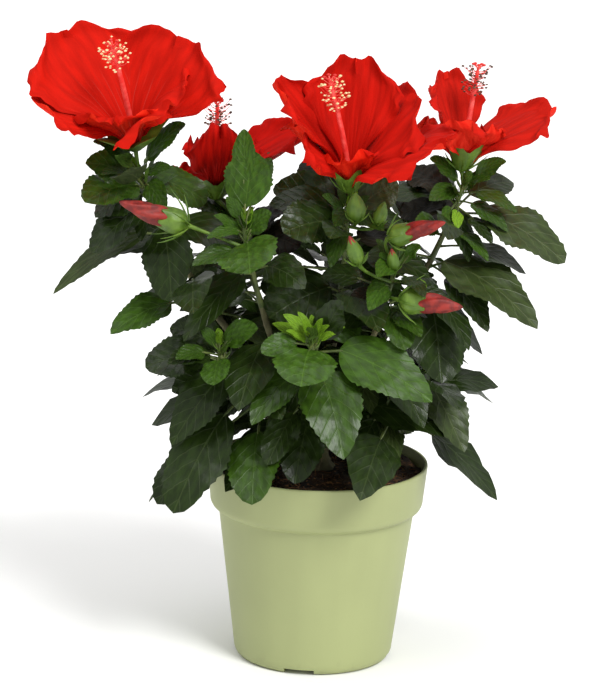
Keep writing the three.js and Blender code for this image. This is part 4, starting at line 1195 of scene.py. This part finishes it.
# cup has the calyx's height, lobes and opening, bare the share of the column below its anthers,
# which are cream (0) or dark (1). Each petal has its turn about the axis, how far it opens, its
# length, width, curl and cup, the width left at its tip and its slant.
blooms = [
    {"name": "left", "shoot": "left", "base": (-109, -22, 308), "axis": (-0.12, -0.44, 0.89),
     "cup": (8, 15, 44), "column": 68, "head": (-4, 0, 2), "bare": 0.78, "anthers": 0, "petals": [
         (-47, 46, 80, 86, 0, -0.05, 0.8, 0.05),
         (36, 48, 70, 96, 5, -0.05, 0.9, 0),
         (120, 30, 56, 82, 66, -0.1, 0.8, 0),
         (186, 24, 50, 62, 72, -0.1, 0.7, 0),
         (270, 58, 70, 60, 5, -0.05, 0.8, -0.1)]},
    {"name": "middle", "shoot": "middle", "base": (14, -32, 288), "axis": (-0.1, -0.24, 0.96),
     "cup": (10, 7, 26), "column": 66, "head": (-7, 0, 2), "bare": 0.71, "anthers": 0, "petals": [
         (12, 25, 78, 62, 0, 0.05, 0.8, 0),
         (70, 40, 70, 86, 10, -0.1, 0.8, 0),
         (112, 62, 80, 66, 15, -0.1, 0.8, 0),
         (180, 25, 33, 48, 40, -0.05, 0.8, 0),
         (255, 32, 55, 50, 0, -0.45, 0.8, -0.06),
         (285, 35, 78, 52, 0, 0.25, 0.7, 0)]},
    {"name": "right", "shoot": "right", "base": (79, 8, 294), "axis": (0.1, 0.04, 0.99),
     "cup": (10, 6, 26), "column": 56, "head": (2, 0, 3), "bare": 0.72, "anthers": 1, "petals": [
         (-25, 27, 60, 48, 0, 0.1, 0.8, -0.04),
         (80, 58, 68, 56, 5, -0.15, 0.8, 0.06),
         (170, 35, 34, 46, 10, -0.05, 0.8, 0),
         (230, 40, 40, 50, 30, -0.1, 0.8, 0),
         (300, 30, 52, 66, 0, 0.05, 0.8, 0)]},
    {"name": "wilted", "shoot": "back_left", "base": (-64, 40, 267), "axis": (0, -0.06, 0.99),
     "cup": (9, 7, 34), "column": 52, "head": (0, 0, 4), "bare": 0.72, "anthers": 1, "petals": [
         (175, 52, 66, 36, -108, -0.1, 0.8, 0),
         (84, 58, 70, 64, 10, 0.1, 0.8, 0),
         (35, 50, 43, 44, 20, 0.1, 0.7, 0),
         (260, 58, 30, 36, 60, 0.2, 0.7, 0),
         (325, 30, 38, 40, 40, 0.1, 0.7, 0)]},
]
petalSize = {"fall": 0.2, "thick": 0.7, "wave": 2.9, "ripple": 1.6, "ribs": 0.4, "jag": 0.035,
             "lobes": 0.055, "foot": 3.0, "steps": 48}


def petalLine(opened, long, curl):
    line, step = [(petalSize["foot"], 0.0)], 1 / petalSize["steps"]
    for i in range(petalSize["steps"]):
        t = (i + 0.5) * step
        angle = math.radians(opened * mix(0.55, 1, float(smooth(t, 0, 0.5)))
                             + curl * max(0, (t - 0.45) / 0.55) ** 1.5)
        r, h = line[i]
        line.append((r + math.sin(angle) * long * step, h + math.cos(angle) * long * step))
    return np.array(line)


def petalWidth(t, fan):
    inner = 0.15 + 0.85 * np.sin(np.clip(t / 0.8, 0, 1) * math.pi / 2) ** 1.3
    outer = mix(1, fan, np.clip((t - 0.8) / 0.2, 0, 1) ** 2.5)
    return np.where(t < 0.8, inner, outer)


def petalPoints(petal, line, t, v, seed):
    turnDegrees, wide, cup, fan, slant = petal[0], petal[3], *petal[5:]
    roll = seeded(seed)
    a, b, c, d = 6.3 * roll(), 6.3 * roll(), 6.3 * roll(), 6.3 * roll()
    out = np.abs(v)
    lobe = np.abs(np.sin(v * 4.4 + a)) + 0.35 * np.abs(np.sin(v * 11 + b))
    reach = 1 - petalSize["fall"] * v * v + slant * v
    tipped = t * mix(1, reach, t) - t ** 4 * petalSize["lobes"] * lobe
    place = np.clip(tipped, 0, 0.9999) * (len(line) - 1)
    low = place.astype(int)
    share = (place - low)[..., None]
    spot = line[low] * (1 - share) + line[low + 1] * share
    step = line[low + 1] - line[low]
    size = np.linalg.norm(step, axis=-1)
    r, h = spot[..., 0], spot[..., 1]
    side = smooth(out, 0.6, 1.0) * smooth(t, 0.35, 0.75)
    half = petalWidth(t, fan) * wide * 0.5
    half = half * (1 + side * petalSize["jag"] * (1.2 * np.sin(t * 29 + c) + 0.8 * np.sin(t * 51 + d)))
    wrap = mix(1, 0.2, smooth(t, 0.15, 0.8))
    most = mix(0.8, 1.25, smooth(t, 0.2, 0.6))
    turnBy = np.clip(v * half / np.maximum(r, 3), -most, most)
    radial = mix(r, r * np.cos(turnBy), wrap)
    aside = mix(v * half, r * np.sin(turnBy), wrap)
    lap = 2.4 * v * smooth(t, 0, 0.5) + cup * half * v * v
    lap = lap + 2.4 * t ** 3 * np.sin(v * 4.2 + turnDegrees * 0.13) * out
    edge = np.maximum(smooth(out, 0.35, 1.0) * smooth(t, 0.3, 0.7), smooth(t, 0.75, 1.0))
    lap = lap + petalSize["wave"] * edge * np.sin(t * 10 * np.sign(v) + v * 5 + a)
    lap = lap + petalSize["ripple"] * edge * np.sin(v * 13 + b + t * 3) * smooth(t, 0.6, 1.0)
    lap = lap + petalSize["ripple"] * 0.6 * edge * np.sin(t * 27 + c) * smooth(out, 0.5, 1.0)
    furrow = np.sin(v * 9 + d) + 0.6 * np.sin(v * 17 + b)
    lap = lap + petalSize["ribs"] * furrow * smooth(t, 0.1, 0.3) * (1 - 0.6 * smooth(t, 0.6, 1.0))
    x = radial - step[..., 1] / size * lap
    z = h + step[..., 0] / size * lap
    turn = math.radians(-turnDegrees)
    return np.stack([x * math.cos(turn) - aside * math.sin(turn),
                     x * math.sin(turn) + aside * math.cos(turn), z], -1)


def layPetal(heap, flower, petal, seed):
    points, faces = petalSheet
    line = petalLine(petal[1], petal[2], petal[4])
    v, t, z = points[:, 0], points[:, 1], points[:, 2]
    v, t = np.clip(v, -1, 1), np.clip(t, 0.0, 1.0)
    spots = petalPoints(petal, line, t, v, seed)
    hair = 0.01  # a small step along and across gives the surface's normal
    along = (petalPoints(petal, line, np.minimum(t + hair, 1), v, seed)
             - petalPoints(petal, line, np.maximum(t - hair, 0), v, seed))
    across = (petalPoints(petal, line, t, np.minimum(v + hair, 1), seed)
              - petalPoints(petal, line, t, np.maximum(v - hair, -1), seed))
    spots = spots + unit(np.cross(across, along)) * (z * petalSize["thick"])[:, None]
    upper, side, out = flower["axes"]
    placed = spots[:, :1] * upper + spots[:, 1:2] * side + spots[:, 2:] * out
    placed = placed + np.array(flower["base"], float)
    cells = [outerCell if any(z[corner] < -0.5 for corner in face) else innerCell for face in faces]
    pile(heap, placed, faces, cells, np.stack([v, t], 1))


def antherMaster():
    deselectAll()
    bpy.ops.mesh.primitive_ico_sphere_add(subdivisions=1, radius=1, location=(0, 0, 0))
    grain = bpy.context.object
    bpy.ops.object.mode_set(mode="EDIT")
    bpy.ops.transform.resize(value=(1.0, 0.75, 0.65))
    bpy.ops.object.mode_set(mode="OBJECT")
    return takeMaster(grain)


anther, antherFaces = antherMaster()
stamens = {"count": 66, "long": (3.5, 9.0), "size": (0.7, 1.15), "pads": 5, "padSize": 1.3,
           "radius": (2.0, 1.1), "rings": 16}


# The stamen column: a tube, anthers on threads round its upper half, and five pads.
def layColumn(heap, flower, seed):
    base, axes = np.array(flower["base"], float), flower["axes"]
    out = axes[2]
    end = base + out * flower["column"] + flower["head"]
    line = (base, base + out * flower["column"] * 0.5, end)
    radii = mix(*stamens["radius"], np.linspace(0, 1, stamens["rings"]))
    tube(heap, line, np.linspace(0.05, 0.96, stamens["rings"]), radii, 10, 0)
    roll = seeded(seed)
    for index in range(stamens["count"]):
        foot = bendPoint(line, mix(flower["bare"], 0.96, (index + roll()) / stamens["count"]))
        spoke = spokeAt(axes, index * 2.4 + roll())
        long = mix(*stamens["long"], roll())
        tip = foot + spoke * long + out * long * mix(0.1, 0.7, roll())
        tube(heap, (foot, foot + spoke * long * 0.6, tip), (0, 0.5, 1), (0.22, 0.18, 0.14), 4, 0)
        pile(heap, anther * mix(*stamens["size"], roll()) + tip, antherFaces, 2 + flower["anthers"])
    for index in range(stamens["pads"]):
        spoke = spokeAt(axes, index / stamens["pads"] * 2 * math.pi + 0.4)
        foot = bendPoint(line, 0.95)
        tip = foot + spoke * 3.2 + out * 4.5
        tube(heap, (foot, foot + out * 3, tip), (0, 0.5, 1), (0.5, 0.4, 0.4), 5, 0)
        pile(heap, anther * stamens["padSize"] + tip, antherFaces, 1)


calyx = {"lobes": 5, "wall": 0.62, "width": 3.4, "bractRing": 5.0, "bractLong": 14.0}


# A five-lobed cup round the petals' foot, with the flower's own stalk and bracts.
def layCalyx(heap, flower, seed):
    base, axes = np.array(flower["base"], float), flower["axes"]
    behind, line = base - axes[2] * 2, lines[flower["shoot"]]
    foot = bendPoint(line, 1.0)
    bend = (foot, (foot + base) / 2 + bendAlong(line, 1.0) * 1.5, behind)
    shares = np.linspace(0, 1, 9)
    tube(heap, bend, shares, mix(1.15, 1.6, shares ** 3), 10, 0)
    share, angle = budBall[:2]
    lobes = 0.5 + 0.5 * np.cos(calyx["lobes"] * angle)
    wall, lining = np.clip(share / calyx["wall"], 0, 1), smooth(share, calyx["wall"], 1.0)
    high, lobe, opened = flower["cup"]
    lobed = high + lobe * lobes ** 1.5 * smooth(wall, 0.5, 1.0)
    along = mix(-3 + wall * (lobed + 3), 1.5, lining)
    spread = wall * (lobed + 3) * math.tan(math.radians(opened))
    r = calyx["width"] * np.sin(np.pi * 0.5 * np.clip(wall / 0.18, 0, 1)) ** 0.7 + spread
    r = r * (1 + 0.04 * np.cos(2 * calyx["lobes"] * angle)) * (1 - lining)
    layRound(heap, base, axes, along, r, 0)
    layBracts(heap, behind, axes, calyx["bractRing"], calyx["bractLong"], seed)


def makeBlooms():
    columns, cups = newHeap(), newHeap()
    for order, flower in enumerate(blooms):
        flower["axes"] = axesAlong((0, 0, 0), unit(flower["axis"]))
        heap = newHeap()
        for index, petal in enumerate(flower["petals"]):
            layPetal(heap, flower, petal, order * 17 + index * 3 + 1)
        materials = [petalMaterial(flower["name"], cell) for cell in (innerCell, outerCell)]
        heapPiece(f"petals_{flower['name']}", heap, materials,
                  [f"bloom_{flower['name']}"], petalCells, 75)
        layColumn(columns, flower, order * 7 + 3)
        layCalyx(cups, flower, order * 5 + 11)
    inColumn = [grown[name] for name in ("columnRed", "padRed", "antherCream", "antherDark")]
    heapPiece("stamen_columns", columns, inColumn, [])
    heapPiece("flower_cups", cups, [grown["calyxGreen"]], [], smoothTo=50)


makeBlooms()
inTwigs = [grown[name] for name in ("greenStem", "calyxGreen", "bark")]
heapPiece("green_twigs", twigs, inTwigs, [], smoothTo=60)
print("flowers made")

setCamera()
setLights()
bpy.ops.mesh.primitive_plane_add(size=studio["floorSize"], location=(0, 0, -studio["floorDrop"]))
floor = bpy.context.object
floor.name = "floor"
floor.data.materials.append(newMaterial("floorPaint", studio["floor"], studio["floorRough"])[0])
deselectAll()
